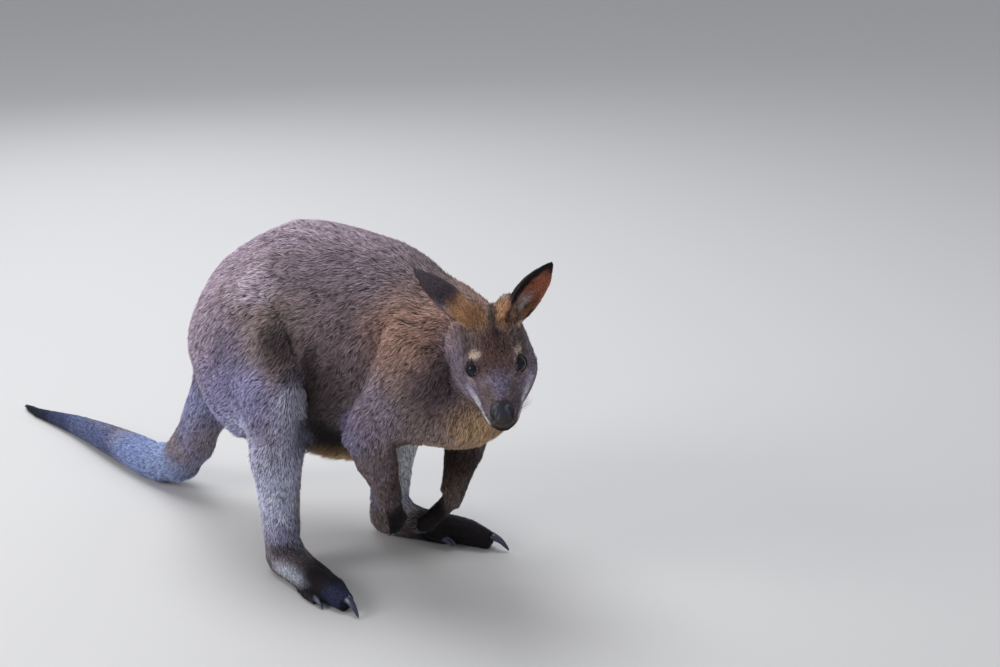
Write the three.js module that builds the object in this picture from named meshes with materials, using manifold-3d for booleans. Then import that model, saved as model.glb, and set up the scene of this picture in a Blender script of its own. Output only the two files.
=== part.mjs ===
// A life-size model of a red-necked wallaby, standing on its hind feet and its tail.
// It leans forward with its paws held low and its head turned to its right.
//
// Millimetres. +X is the way the body faces, +Y is the animal's left, +Z is up.
// The body is one smooth field of blended forms. Each part is the stretch of that field
// between two cuts, meshed on a grid of its own. Ears, digits, claws and eyes are lofts.
// Landmarks are measured from the floor point midway between the heels, and the finished
// group is then moved so that its origin lies on the floor under the middle of its box.

import * as THREE from 'three';
import { mergeVertices } from 'three/addons/utils/BufferGeometryUtils.js';
import { triTable } from 'three/addons/objects/MarchingCubes.js';
import Module from 'manifold-3d';

const wasm = await Module();
wasm.setup();

const vec = (x, y, z) => new THREE.Vector3(x, y, z);
const degrees = THREE.MathUtils.degToRad;
const lerp = THREE.MathUtils.lerp;

// ---------------------------------------------------------------- driving dimensions

const gap = 0.5;              // clearance between neighbouring parts
const headLength = 152;       // crown to nose
const eyeRadius = 10.5;
const earLength = 86;
const earWidth = 44;
const earWall = 4.5;          // skin and short fur together
const tailRadius = 35;        // at the root

// Grid steps, finer where the form is finer.
const cells = { trunk: 41, neck: 27, head: 12.5, tail: 23, thigh: 32, shank: 22, foot: 14,
  upperArm: 25, forearm: 18, territory: 38 };

// Spine, seen from the side: centre, radii, pitch in degrees (nose down is positive), blend width.
const trunkForms = [
  [[-87, 0, 314],  [91, 80, 105],   -35,  0],   // rump
  [[6, 0, 358],    [122, 88, 117],   -4, 60],   // loin
  [[48, 0, 284],   [150, 110, 127],  -4, 60],   // belly
  [[124, 0, 340],  [126, 90, 125],   12, 60],   // ribs
  [[226, 0, 304],  [92, 76, 86],      8, 50],   // chest
];

const neckRoot = vec(226, 0, 322);
const midEye = vec(373, -77, 364);       // between the pupils
const headYaw = -55;                     // degrees, to the animal's right
const headPitch = 55;                    // degrees, nose down
const headTilt = 8;                      // degrees, about the normal of the forehead

// Right and left limbs. Heels lie on the floor, and the left foot is a little ahead.
const legs = {
  right: { side: -1, hip: vec(-70, -64, 310), knee: vec(38, -122, 262), heel: vec(-6, -91, 0), splay: 15 },
  left: { side: 1, hip: vec(-70, 64, 310), knee: vec(72, 112, 258), heel: vec(24, 86, 0), splay: 13 },
};
const arms = {
  right: { side: -1, blade: vec(182, -54, 368), shoulder: vec(246, -70, 330), elbow: vec(176, -94, 240),
    wrist: vec(179, -52, 129), knuckles: vec(178, -40, 98) },
  left: { side: 1, blade: vec(182, 50, 364), shoulder: vec(248, 68, 318), elbow: vec(214, 88, 226),
    wrist: vec(214, 30, 110), knuckles: vec(201, 4, 88) },
};

// Centre line of the tail, with its radius as a share of the root's.
const tailLine = [
  [-130, 0, 300, 1.3],
  [-186, 2, 226, 1.06],
  [-226, 7, 148, 0.93],
  [-264, 14, 90, 0.9],
  [-306, 21, 48, 0.9],
  [-362, 30, 29, 0.86],
  [-440, 46, 27, 0.8],
  [-524, 66, 22, 0.66],
  [-610, 86, 16, 0.5],
  [-688, 98, 10, 0.34],
  [-744, 104, 7, 0.22],
  [-786, 117, 5, 0.1],
];

// ---------------------------------------------------------------- fields

// Distance to an ellipsoid, turned by a quaternion. Negative inside.
function ellipsoid(centre, radii, turn = new THREE.Quaternion()) {
  const m = new THREE.Matrix4().compose(centre, turn, vec(1, 1, 1)).invert().elements;
  const [a, b, c] = radii;
  return (x, y, z) => {
    const u = (m[0] * x + m[4] * y + m[8] * z + m[12]) / a;
    const v = (m[1] * x + m[5] * y + m[9] * z + m[13]) / b;
    const w = (m[2] * x + m[6] * y + m[10] * z + m[14]) / c;
    const near = Math.sqrt(u * u + v * v + w * w);
    const slope = Math.sqrt((u / a) ** 2 + (v / b) ** 2 + (w / c) ** 2);
    return near < 1e-6 ? -Math.min(a, b, c) : near * (near - 1) / slope;
  };
}

// Distance to a cone with round ends of radius ra and rb. `flat` thins it along `flatAxis`.
function bone(a, b, ra, rb, flatAxis = null, flat = 1) {
  const axis = b.clone().sub(a);
  const length = axis.length();
  axis.normalize();
  const lean = (ra - rb) / length;
  const rise = Math.sqrt(1 - lean * lean);
  const [fx, fy, fz] = flatAxis ? flatAxis.toArray() : [0, 0, 0];
  return (x, y, z) => {
    let px = x - a.x;
    let py = y - a.y;
    let pz = z - a.z;
    if (flatAxis) {
      const s = (px * fx + py * fy + pz * fz) * (1 / flat - 1);
      px += fx * s;
      py += fy * s;
      pz += fz * s;
    }
    const along = px * axis.x + py * axis.y + pz * axis.z;
    const across = Math.sqrt(Math.max(px * px + py * py + pz * pz - along * along, 0));
    const k = along * rise - across * lean;
    if (k < 0) return Math.hypot(along, across) - ra;
    if (k > length * rise) return Math.hypot(along - length, across) - rb;
    return across * rise + along * lean - ra;
  };
}

// Smooth minimum over a blend width k.
function melt(d, e, k) {
  const h = Math.max(k - Math.abs(d - e), 0);
  return Math.min(d, e) - (k > 0 ? h * h / (4 * k) : 0);
}

// One field from [field, blend width] pairs, melted in turn.
function blend(forms) {
  return (x, y, z) => {
    let d = forms[0][0](x, y, z);
    for (let i = 1; i < forms.length; i++) d = melt(d, forms[i][0](x, y, z), forms[i][1]);
    return d;
  };
}

const nearest = (fields) => (x, y, z) => {
  let d = Infinity;
  for (const f of fields) d = Math.min(d, f(x, y, z));
  return d;
};

// ---------------------------------------------------------------- meshing

const corners = [[0, 0, 0], [1, 0, 0], [1, 1, 0], [0, 1, 0], [0, 0, 1], [1, 0, 1], [1, 1, 1], [0, 1, 1]];
const cellEdges = [[0, 1], [1, 2], [2, 3], [3, 0], [4, 5], [5, 6], [6, 7], [7, 4],
  [0, 4], [1, 5], [2, 6], [3, 7]];

// Closed surface of a field inside a box, by marching cubes. The vertices are then relaxed
// along the surface and put back on it, so that the faces come out even.
function surface(field, box, cell) {
  const size = box.getSize(new THREE.Vector3());
  const middle = box.getCenter(new THREE.Vector3());
  const inBox = (x, y, z) => Math.max(field(x, y, z), Math.abs(x - middle.x) - size.x / 2,
    Math.abs(y - middle.y) - size.y / 2, Math.abs(z - middle.z) - size.z / 2);
  const [nx, ny, nz] = size.toArray().map((s) => Math.ceil(s / cell) + 3);
  const start = middle.clone().sub(vec(nx - 1, ny - 1, nz - 1).multiplyScalar(cell / 2));
  const at = (i, j, k) => (k * ny + j) * nx + i;
  const values = new Float32Array(nx * ny * nz);
  const least = 0.12 * cell;  // keeps crossings off the grid points, which would give slivers
  for (let k = 0; k < nz; k++) {
    for (let j = 0; j < ny; j++) {
      for (let i = 0; i < nx; i++) {
        const d = inBox(start.x + i * cell, start.y + j * cell, start.z + k * cell);
        values[at(i, j, k)] = Math.abs(d) < least ? (d < 0 ? -least : least) : d;
      }
    }
  }
  const points = [];
  const triangles = [];
  const known = new Map();
  const crossing = (i, j, k, edge) => {
    const [p, q] = cellEdges[edge].map((c) => corners[c].map((o, n) => o + [i, j, k][n]));
    const [u, v] = [at(...p), at(...q)];
    const key = Math.min(u, v) * 3 + [0, 1, 2].find((n) => p[n] !== q[n]);
    if (!known.has(key)) {
      known.set(key, points.length);
      const t = values[u] / (values[u] - values[v]);
      points.push(vec(...p.map((o, n) => start.getComponent(n) + cell * lerp(o, q[n], t))));
    }
    return known.get(key);
  };
  for (let k = 0; k < nz - 1; k++) {
    for (let j = 0; j < ny - 1; j++) {
      for (let i = 0; i < nx - 1; i++) {
        let inside = 0;
        corners.forEach(([a, b, c], n) => {
          if (values[at(i + a, j + b, k + c)] < 0) inside |= 1 << n;
        });
        for (let n = inside * 16; triTable[n] >= 0; n += 3) {
          triangles.push([0, 2, 1].map((m) => crossing(i, j, k, triTable[n + m])));
        }
      }
    }
  }
  relax(points, triangles, inBox);
  return solidOf(points, triangles).simplify(0.1 * cell);
}

// Evens out the vertices: each moves towards its neighbours' mean, then back to the surface.
function relax(points, triangles, field) {
  const rounds = 4;
  const step = 1;  // mm, for the slope of the field
  for (let round = 0; round < rounds; round++) {
    const sums = points.map(() => ({ sum: vec(0, 0, 0), count: 0 }));
    for (const t of triangles) {
      t.forEach((a, n) => {
        sums[a].sum.add(points[t[(n + 1) % 3]]);
        sums[a].count += 1;
      });
    }
    points.forEach((p, n) => {
      p.lerp(sums[n].sum.divideScalar(sums[n].count), 0.5);
      for (let again = 0; again < 2; again++) {
        const d = field(p.x, p.y, p.z);
        const slope = vec(field(p.x + step, p.y, p.z) - field(p.x - step, p.y, p.z),
          field(p.x, p.y + step, p.z) - field(p.x, p.y - step, p.z),
          field(p.x, p.y, p.z + step) - field(p.x, p.y, p.z - step)).divideScalar(2 * step);
        p.addScaledVector(slope, -d / Math.max(slope.lengthSq(), 0.05));
      }
    });
  }
}

// ---------------------------------------------------------------- solids

function solidOf(points, triangles) {
  const vertProperties = new Float32Array(points.flatMap((p) => p.toArray()));
  return new wasm.Manifold(new wasm.Mesh({
    numProp: 3, vertProperties, triVerts: new Uint32Array(triangles.flat()) }));
}

// A closed three.js geometry, placed by a matrix, as a solid.
function solidFrom(geometry, matrix = new THREE.Matrix4()) {
  const bare = new THREE.BufferGeometry()
    .setAttribute('position', geometry.getAttribute('position').clone())
    .setIndex(geometry.index)
    .applyMatrix4(matrix);
  const g = mergeVertices(bare, 1e-3);
  return new wasm.Manifold(new wasm.Mesh({
    numProp: 3, vertProperties: g.attributes.position.array, triVerts: new Uint32Array(g.index.array) }));
}

function geometryOf(solid) {
  const mesh = solid.getMesh();
  const geometry = new THREE.BufferGeometry()
    .setAttribute('position', new THREE.BufferAttribute(mesh.vertProperties.slice(), 3))
    .setIndex(new THREE.BufferAttribute(mesh.triVerts.slice(), 1));
  geometry.computeVertexNormals();
  return geometry;
}

// The half space ahead of a point, as a big box whose face passes through it.
function ahead(point, normal, reach = 2000) {
  const turn = new THREE.Quaternion().setFromUnitVectors(vec(0, 0, 1), normal.clone().normalize());
  const middle = point.clone().addScaledVector(normal.clone().normalize(), reach / 2);
  return solidFrom(new THREE.BoxGeometry(reach, reach, reach),
    new THREE.Matrix4().compose(middle, turn, vec(1, 1, 1)));
}

// Keeps what lies ahead of every cut. A cut is [point, normal], with the normal pointing inwards.
function between(solid, cuts, shift = gap / 2) {
  return cuts.reduce((kept, [point, normal]) => {
    const inwards = normal.clone().normalize();
    return kept.intersect(ahead(point.clone().addScaledVector(inwards, shift), inwards));
  }, solid);
}

// The same solid, pushed out along its vertex normals.
function grown(solid, by = gap) {
  const g = geometryOf(solid);
  const { position, normal } = g.attributes;
  for (let i = 0; i < position.count; i++) {
    position.setXYZ(i, position.getX(i) + by * normal.getX(i),
      position.getY(i) + by * normal.getY(i), position.getZ(i) + by * normal.getZ(i));
  }
  return solidFrom(g);
}

// Closed skin through rings of points, each ring with the same count, ends closed by fans.
function loft(rings) {
  const sides = rings[0].length;
  const points = rings.flat();
  const triangles = [];
  for (let r = 0; r < rings.length - 1; r++) {
    for (let s = 0; s < sides; s++) {
      const [a, b] = [r * sides + s, r * sides + (s + 1) % sides];
      triangles.push([a, b, b + sides], [a, b + sides, a + sides]);
    }
  }
  [0, rings.length - 1].forEach((r) => {
    const centre = rings[r].reduce((sum, p) => sum.add(p), vec(0, 0, 0)).divideScalar(sides);
    points.push(centre);
    for (let s = 0; s < sides; s++) {
      const [a, b] = [r * sides + s, r * sides + (s + 1) % sides];
      triangles.push(r === 0 ? [points.length - 1, b, a] : [points.length - 1, a, b]);
    }
  });
  const made = solidOf(points, triangles);
  return made.volume() > 0 ? made : solidOf(points, triangles.map(([a, b, c]) => [a, c, b]));
}

// A round digit or claw along a curve. `radius(t)` is its half width, `up` the side that is its back.
function finger(line, radius, up, sides = 8, rings = 6, depth = 1) {
  const curve = new THREE.CatmullRomCurve3(line);
  const made = [];
  for (let r = 0; r <= rings; r++) {
    const t = r / rings;
    const centre = curve.getPoint(t);
    const forward = curve.getTangent(t);
    const across = new THREE.Vector3().crossVectors(forward, up).normalize();
    const back = new THREE.Vector3().crossVectors(across, forward).normalize();
    const ring = [];
    for (let s = 0; s < sides; s++) {
      const angle = 2 * Math.PI * s / sides;
      ring.push(centre.clone().addScaledVector(across, radius(t) * Math.cos(angle))
        .addScaledVector(back, radius(t) * depth * Math.sin(angle)));
    }
    made.push(ring);
  }
  return loft(made);
}

// ---------------------------------------------------------------- the body's forms

const pitched = (angle) => new THREE.Quaternion().setFromAxisAngle(vec(0, 1, 0), degrees(angle));
const sides = { right: -1, left: 1 };

// Head frame: F towards the nose, L to the left, U out of the forehead.
const headTurn = new THREE.Quaternion()
  .setFromAxisAngle(vec(0, 0, 1), degrees(headYaw))
  .multiply(pitched(headPitch))
  .multiply(new THREE.Quaternion().setFromAxisAngle(vec(0, 0, 1), degrees(headTilt)));
const onHead = (f, l, u) => vec(f, l, u).applyQuaternion(headTurn).add(midEye);
const headForm = (centre, radii) => ellipsoid(onHead(...centre), radii, headTurn);

const head = blend([
  [headForm([-38, 0, -22], [headLength * 0.29, 38, 34]), 0],        // cranium
  [headForm([-6, 0, -14], [36, 27, 22]), 16],                       // forehead
  [bone(onHead(4, 0, -24), onHead(58, 0, -20), 26, 15), 16],        // bridge of the nose
  [headForm([70, 0, -17], [10, 13.5, 10]), 9],                      // nose
  [bone(onHead(-22, 0, -56), onHead(56, 0, -36), 24, 11), 16],      // jaw
  ...Object.values(sides).flatMap((s) => [
    [headForm([-12, 26 * s, -40], [36, 25, 32]), 16],               // cheek
    [headForm([34, 11 * s, -30], [32, 15.5, 15]), 12],              // lip
    [headForm([8, 22 * s, -44], [30, 16, 20]), 14],                 // jowl
    [headForm([-2, 20 * s, -4], [19, 12, 9]), 9],                   // brow
    [bone(onHead(-40, 19 * s, -5), onHead(-75, 23 * s, 4), 20, 13), 12],  // root of the ear
  ]),
]);

const neck = blend([
  [bone(neckRoot, onHead(-46, 0, -44), 69, 38), 0],
  [bone(vec(270, -4, 288), onHead(-22, 0, -58), 62, 30), 40],
]);

const tailPoints = tailLine.map(([x, y, z, r]) => ({ at: vec(x, y, z), r: r * tailRadius }));
const tail = blend(tailPoints.slice(1).map((to, n) => {
  const from = tailPoints[n];
  return [bone(from.at, to.at, from.r, to.r), 10];
}));

const trunk = blend(trunkForms.map(([centre, radii, pitch, width]) =>
  [ellipsoid(vec(...centre), radii, pitched(pitch)), width]));

// Leg: thigh, shank and foot. A place on the foot is given along it, outwards and by height.
function legForms({ side, hip, knee, heel, splay }) {
  const toes = vec(Math.cos(degrees(splay)), side * Math.sin(degrees(splay)), 0);
  const out = vec(-toes.y, toes.x, 0).multiplyScalar(side);
  const onFoot = (along, across, height) =>
    heel.clone().addScaledVector(toes, along).addScaledVector(out, across).setZ(height);
  const ankle = onFoot(34, 0, 46);
  const haunch = vec(-18, 82 * side, 304);
  const thigh = blend([
    [ellipsoid(haunch, [100, 54, 100], pitched(-18)), 0],
    [bone(hip, knee, 76, 46, vec(0, 1, 0), 0.8), 30],
    [bone(vec(-94, 54 * side, 286), vec(-48, 86 * side, 226), 56, 46), 36],
  ]);
  const calf = knee.clone().lerp(ankle, 0.4).add(vec(-2, 0, 0));
  const shank = blend([
    [bone(knee, calf, 45, 31), 0],
    [bone(calf, ankle, 31, 23), 20],
    [bone(calf.clone().add(vec(-8, 0, 0)), onFoot(13, 0, 42), 24, 16), 16],
  ]);
  const foot = blend([
    [bone(onFoot(17, 0, 16.5), onFoot(60, 0, 21), 18, 22), 0],
    [bone(onFoot(40, 0, 23), onFoot(120, 1, 20), 23.5, 20.5), 12],
    [bone(onFoot(88, 2, 16), onFoot(132, 3, 16), 21, 19, vec(0, 0, 1), 0.85), 12],
  ]);
  return { side, hip, knee, ankle, haunch, heel, toes, out, onFoot, thigh, shank, foot };
}

// Arm: upper arm, from the shoulder blade to the elbow, and forearm, down to the wrist.
function armForms({ side, blade, shoulder, elbow, wrist, knuckles }) {
  const upperArm = blend([
    [bone(shoulder, elbow, 46, 33, vec(0, 1, 0), 0.8), 0],
    [bone(blade, shoulder, 40, 45, vec(0, 1, 0), 0.7), 30],
  ]);
  const middle = elbow.clone().lerp(wrist, 0.45);
  const forearm = blend([
    [bone(elbow, middle, 30, 25), 0],
    [bone(middle, wrist, 25, 16), 12],
    [bone(wrist, wrist.clone().lerp(knuckles, 0.5), 16, 15), 8],
  ]);
  return { side, blade, shoulder, elbow, wrist, knuckles, upperArm, forearm };
}

const leg = { right: legForms(legs.right), left: legForms(legs.left) };
const arm = { right: armForms(arms.right), left: armForms(arms.left) };

const torso = blend([
  [trunk, 0],
  [neck, 60],
  [tail, 45],
  ...Object.values(leg).map((l) => [l.thigh, 34]),
  ...Object.values(arm).map((a) => [a.upperArm, 30]),
]);

// ---------------------------------------------------------------- cuts between the parts

const flip = ([point, normal]) => [point, normal.clone().negate()];
const floor = [vec(0, 0, -gap / 2), vec(0, 0, 1)];
const neckCut = [vec(262, 0, 350), vec(0.8, -0.25, 0.55)];
const headCut = [onHead(-34, 0, -52), vec(0.2, 0, 1).applyQuaternion(headTurn)];
const tailCut = [vec(-186, 2, 232), vec(-1, 0, -1.1)];

// Across the tail at a point of its line.
const tailBreak = (n) => [tailPoints[n].at, tailPoints[n + 1].at.clone().sub(tailPoints[n - 1].at)];

// The plane that halves the bend of a limb, facing its far end.
const bendCut = (upper, joint, lower, slip) => [joint.clone().lerp(lower, slip),
  joint.clone().sub(upper).normalize().add(lower.clone().sub(joint).normalize())];

const boxOf = (points, margin) => new THREE.Box3().setFromPoints(points).expandByScalar(margin);

// What the trunk gives to a limb: the limb's own outline, swept outwards from its middle plane
// and stopped at a flat side `inner` from the middle of the body.
function territory(field, side, middle, inner, margin, box) {
  const swept = (x, y, z) => Math.max(field(x, side * Math.min(side * y, middle), z) - margin,
    inner - side * y);
  return surface(swept, box, cells.territory);
}

// The biggest piece, without the crumbs a cut may leave, and without needless vertices.
const mainPiece = (solid) => solid.decompose()
  .reduce((a, b) => (a.volume() > b.volume() ? a : b))
  .simplify(0.4 * gap);

const cutOut = (solid, ...cuts) => mainPiece(between(solid, cuts));

// What the neighbours of a cut-out part leave free: the same form and cuts, wider by the gap.
const clearance = (solid, ...cuts) => between(grown(solid), cuts, -gap / 2);
const clearOf = (solid, blocks) => mainPiece(blocks.reduce((kept, block) => kept.subtract(block), solid));

// ---------------------------------------------------------------- parts

const parts = {};
const finish = {};
const colours = {
  back: '#8b8079', haunch: '#9a928c', pale: '#a9a6a4', head: '#84766c', ear: '#3a302c',
  foot: '#4a4340', hand: '#2c2624', tail: '#8f9398', tailTip: '#4c4b4d', claw: '#25211f', eye: '#0c0a09',
};
function add(name, solid, colour, roughness = 0.95) {
  parts[name] = solid;
  finish[name] = { color: colours[colour], roughness, metalness: 0 };
}

const limbBlocks = [];   // what the trunk and the neck leave free for the limbs
const skull = surface(blend([[neck, 0], [head, 22]]),
  boxOf([onHead(75, 0, -20), onHead(-80, 0, -10)], 70), cells.head);

// Legs, with three toes on each foot: the long fourth, the shorter fifth outside it, and the
// thin second and third, which share one skin.
const toeShapes = {
  main: { line: [[114, 3, 20], [154, 3, 19], [189, 2, 12.5]], radii: [21.5, 19.5, 13], depth: 1 },
  outer: { line: [[92, 12, 10], [122, 19, 9], [146, 22, 6]], radii: [11.5, 10.5, 7], depth: 0.9 },
  inner: { line: [[84, -10, 20], [108, -18, 18], [128, -22, 14]], radii: [11, 9, 6.5], depth: 0.85 },
};
const hindClaws = {
  main: { line: [[174, 2, 18], [198, 2, 20], [217, 2, 3]], radius: 7.5 },
  outer: { line: [[138, 21, 9], [152, 23, 10], [166, 24, 2.5]], radius: 5 },
  second: { line: [[121, -25, 14], [132, -27, 15], [143, -28, 8]], radius: 2.8 },
  third: { line: [[121, -19, 14], [133, -20, 15], [145, -21, 8]], radius: 2.8 },
};
const clawRadius = (radius) => (t) => radius * (1 - t) ** 0.7 + 0.4;

for (const [name, l] of Object.entries(leg)) {
  const box = boxOf([l.hip, l.knee, l.haunch], 160);
  const land = territory(l.thigh, l.side, 82, 46, 2, box);
  const kneeCut = bendCut(l.hip, l.knee, l.ankle, 0.15);
  const upper = surface(blend([[torso, 0], [l.shank, 26]]), box, cells.thigh);
  add(`thigh_${name}`, cutOut(upper.intersect(land), flip(kneeCut)), 'haunch');

  const ankleCut = [l.onFoot(32, 0, 46), vec(-0.35 * l.toes.x, -0.35 * l.toes.y, 1)];
  const lower = surface(blend([[l.thigh, 0], [l.shank, 26], [l.foot, 14]]),
    boxOf([l.knee, l.ankle], 75), cells.shank);
  add(`shank_${name}`, cutOut(lower, kneeCut, ankleCut), 'pale');
  limbBlocks.push(clearance(land, flip(kneeCut)), clearance(lower, kneeCut, ankleCut));

  const toeCut = [l.onFoot(126, 0, 12), l.toes.clone().negate()];
  const sole = surface(blend([[l.shank, 0], [l.foot, 14]]),
    boxOf([l.heel, l.onFoot(130, 0, 20), l.ankle], 40), cells.foot);
  add(`foot_${name}`, cutOut(sole, flip(ankleCut), toeCut, floor), 'foot');

  const rods = {};
  for (const [toe, { line, radii, depth }] of Object.entries(toeShapes)) {
    const radius = (t) => (t < 0.5 ? lerp(radii[0], radii[1], 2 * t) : lerp(radii[1], radii[2], 2 * t - 1));
    rods[toe] = finger(line.map((p) => l.onFoot(...p)), radius, vec(0, 0, 1), 9, 4, depth);
    const blocks = [clearance(sole, toeCut), ...(toe === 'main' ? [] : [grown(rods.main)])];
    add(`toe_${toe}_${name}`, clearOf(between(rods[toe], [floor]), blocks), 'foot');
  }
  const toeBlocks = Object.values(rods).map((rod) => grown(rod));
  for (const [claw, { line, radius }] of Object.entries(hindClaws)) {
    const made = finger(line.map((p) => l.onFoot(...p)), clawRadius(radius), vec(0, 0, 1), 6, 3, 0.9);
    add(`claw_${claw}_${name}`, clearOf(between(made, [floor]), toeBlocks), 'claw', 0.4);
  }
}

// Arms. The fingers are fused with the palm, and the claws are on their own.
for (const [name, a] of Object.entries(arm)) {
  const box = boxOf([a.blade, a.shoulder, a.elbow], 80);
  const land = territory(a.upperArm, a.side, 82, 34, 1, box);
  const elbowCut = bendCut(a.shoulder, a.elbow, a.wrist, 0.04);
  const upper = surface(blend([[torso, 0], [a.forearm, 18]]), box, cells.upperArm);
  add(`upper_arm_${name}`, clearOf(between(upper.intersect(land), [flip(elbowCut)]),
    [clearance(skull, headCut)]), 'back');

  const wristCut = [a.wrist, a.knuckles.clone().sub(a.wrist)];
  const lower = surface(blend([[a.upperArm, 0], [a.forearm, 18]]),
    boxOf([a.elbow, a.wrist], 42), cells.forearm);
  add(`forearm_${name}`, cutOut(lower, elbowCut, flip(wristCut)), 'hand');
  limbBlocks.push(clearance(land, flip(elbowCut)), clearance(lower, elbowCut, flip(wristCut)));

  const down = a.knuckles.clone().sub(a.wrist).normalize();
  const across = new THREE.Vector3().crossVectors(vec(1, 0, 0), down).normalize();
  const back = new THREE.Vector3().crossVectors(down, across).normalize();
  const onHand = (d, s, b) => a.knuckles.clone().addScaledVector(down, d)
    .addScaledVector(across, s).addScaledVector(back, b);
  const palm = finger([onHand(-46, 0, 0), onHand(-14, 0, 1), onHand(8, 0, -2)],
    (t) => lerp(15.5, 13.5, t), back, 8, 3, 0.72);
  const digits = [-2, -1, 0, 1, 2].map((n) => {
    const reach = 22 - 2 * n * n;
    const spread = 5.6 * n;
    return {
      flesh: finger([onHand(-4, spread, 1), onHand(0.55 * reach, spread * 1.2, 2),
        onHand(reach, spread * 1.3, -4)], (t) => lerp(5.4, 3.8, t), back, 6, 2),
      claw: finger([onHand(reach - 5, spread * 1.28, -1.5), onHand(reach + 3, spread * 1.35, -4),
        onHand(reach + 8, spread * 1.38, -10)], clawRadius(2.4), back, 4, 2),
    };
  });
  const hand = digits.reduce((sum, { flesh }) => sum.add(flesh), palm);
  add(`hand_${name}`, cutOut(hand, wristCut), 'hand');
  digits.forEach(({ claw }, n) => {
    const blocks = [palm, ...digits.map((d) => d.flesh)].map((solid) => grown(solid));
    add(`claw_${n + 1}_hand_${name}`, clearOf(claw, blocks), 'claw', 0.4);
  });
}

// Tail in three lengths, all resting on the floor from its bend onwards. The root flares into
// the rump, and the rest is a tapering rod along the tail's line.
const tailRoot = surface(blend([[trunk, 0], [tail, 45]]),
  boxOf(tailPoints.slice(0, 7).map((p) => p.at), 50), cells.tail);
add('tail_base', cutOut(tailRoot, tailCut, flip(tailBreak(5)), floor), 'tail');
const rodPoints = tailPoints.slice(3);
const rodRadius = (t) => {
  const n = Math.min(Math.floor(t * (rodPoints.length - 1)), rodPoints.length - 2);
  return lerp(rodPoints[n].r, rodPoints[n + 1].r, t * (rodPoints.length - 1) - n);
};
const rod = finger(rodPoints.map((p) => p.at), rodRadius, vec(0, 0, 1), 12, 14);
add('tail_middle', cutOut(rod, tailBreak(5), flip(tailBreak(8)), floor), 'tail');
add('tail_tip', cutOut(rod, tailBreak(8), floor), 'tailTip');

// Trunk and neck.
const trunkBox = new THREE.Box3(vec(-300, -200, 110), vec(380, 200, 520));
const trunkSolid = surface(torso, trunkBox, cells.trunk);
add('trunk', clearOf(between(trunkSolid, [flip(neckCut), flip(tailCut)]), limbBlocks), 'back');
const neckSolid = surface(blend([[torso, 0], [head, 22]]),
  boxOf([neckRoot, onHead(-30, 0, -40)], 110), cells.neck);
add('neck', clearOf(between(neckSolid, [neckCut, flip(headCut)]), limbBlocks), 'head');

// Head, with the eyes set into it.
for (const [name, s] of Object.entries(sides)) {
  const place = new THREE.Matrix4().setPosition(onHead(0.6, 25.7 * s, -4.3));
  add(`eye_${name}`, solidFrom(new THREE.IcosahedronGeometry(eyeRadius, 2), place), 'eye', 0.05);
}
add('head', clearOf(between(skull, [headCut]), [grown(parts.eye_right), grown(parts.eye_left)]), 'head');

// Ear: a rolled leaf. `opening` is the way its inside faces.
const earShapes = {
  right: { base: vec(336, -84, 418), tip: vec(272, -104, 466), opening: vec(-0.673, -0.015, -0.74) },
  left: { base: vec(376, -52, 416), tip: vec(424, -29, 490), opening: vec(0.80, -0.45, -0.30) },
};
const earOutline = [[-1, 0.4, 150], [-0.4, 0.56, 146], [0.05, 0.72, 136], [0.22, 0.9, 112], [0.42, 1, 92],
  [0.62, 0.95, 78], [0.8, 0.75, 68], [0.93, 0.46, 58], [1, 0.16, 45]];
for (const [name, { base, tip, opening }] of Object.entries(earShapes)) {
  const axis = tip.clone().sub(base).normalize();
  const across = new THREE.Vector3().crossVectors(axis, opening).normalize();
  const inside = new THREE.Vector3().crossVectors(across, axis).normalize();
  const root = onHead(-44, 18 * sides[name], -6);
  const rings = earOutline.map(([t, share, roll]) => {
    const radius = earWidth * share / 2 / Math.sin(degrees(Math.min(roll, 90)));
    const wall = Math.min(earWall, 0.6 * radius);
    const along = Math.max(t, 0);
    const sag = radius - 14 - 7 * Math.sin(Math.PI * along) + 8 * along * along;
    const centre = base.clone().addScaledVector(axis, earLength * along)
      .addScaledVector(inside, sag).lerp(root, Math.max(-t, 0));
    const arc = (r, from, to) => Array.from({ length: 7 }, (_, n) => {
      const angle = degrees(lerp(from, to, n / 6));
      return centre.clone().addScaledVector(inside, -r * Math.cos(angle)).addScaledVector(across, r * Math.sin(angle));
    });
    return [...arc(radius, -roll, roll), ...arc(radius - wall, roll, -roll)];
  });
  add(`ear_${name}`, clearOf(loft(rings), [grown(skull)]), 'ear');
}

// ---------------------------------------------------------------- the group

const group = new THREE.Group();
for (const [name, solid] of Object.entries(parts)) {
  const mesh = new THREE.Mesh(geometryOf(solid), new THREE.MeshStandardMaterial(finish[name]));
  mesh.name = name;
  group.add(mesh);
}
const whole = new THREE.Box3().setFromObject(group);
const middle = whole.getCenter(new THREE.Vector3());
group.position.set(-middle.x, -middle.y, -whole.min.z);

export default group;
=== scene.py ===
import math
import bmesh
import bpy
import numpy as np
from mathutils import Matrix, Vector
from mathutils.bvhtree import BVHTree


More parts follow.
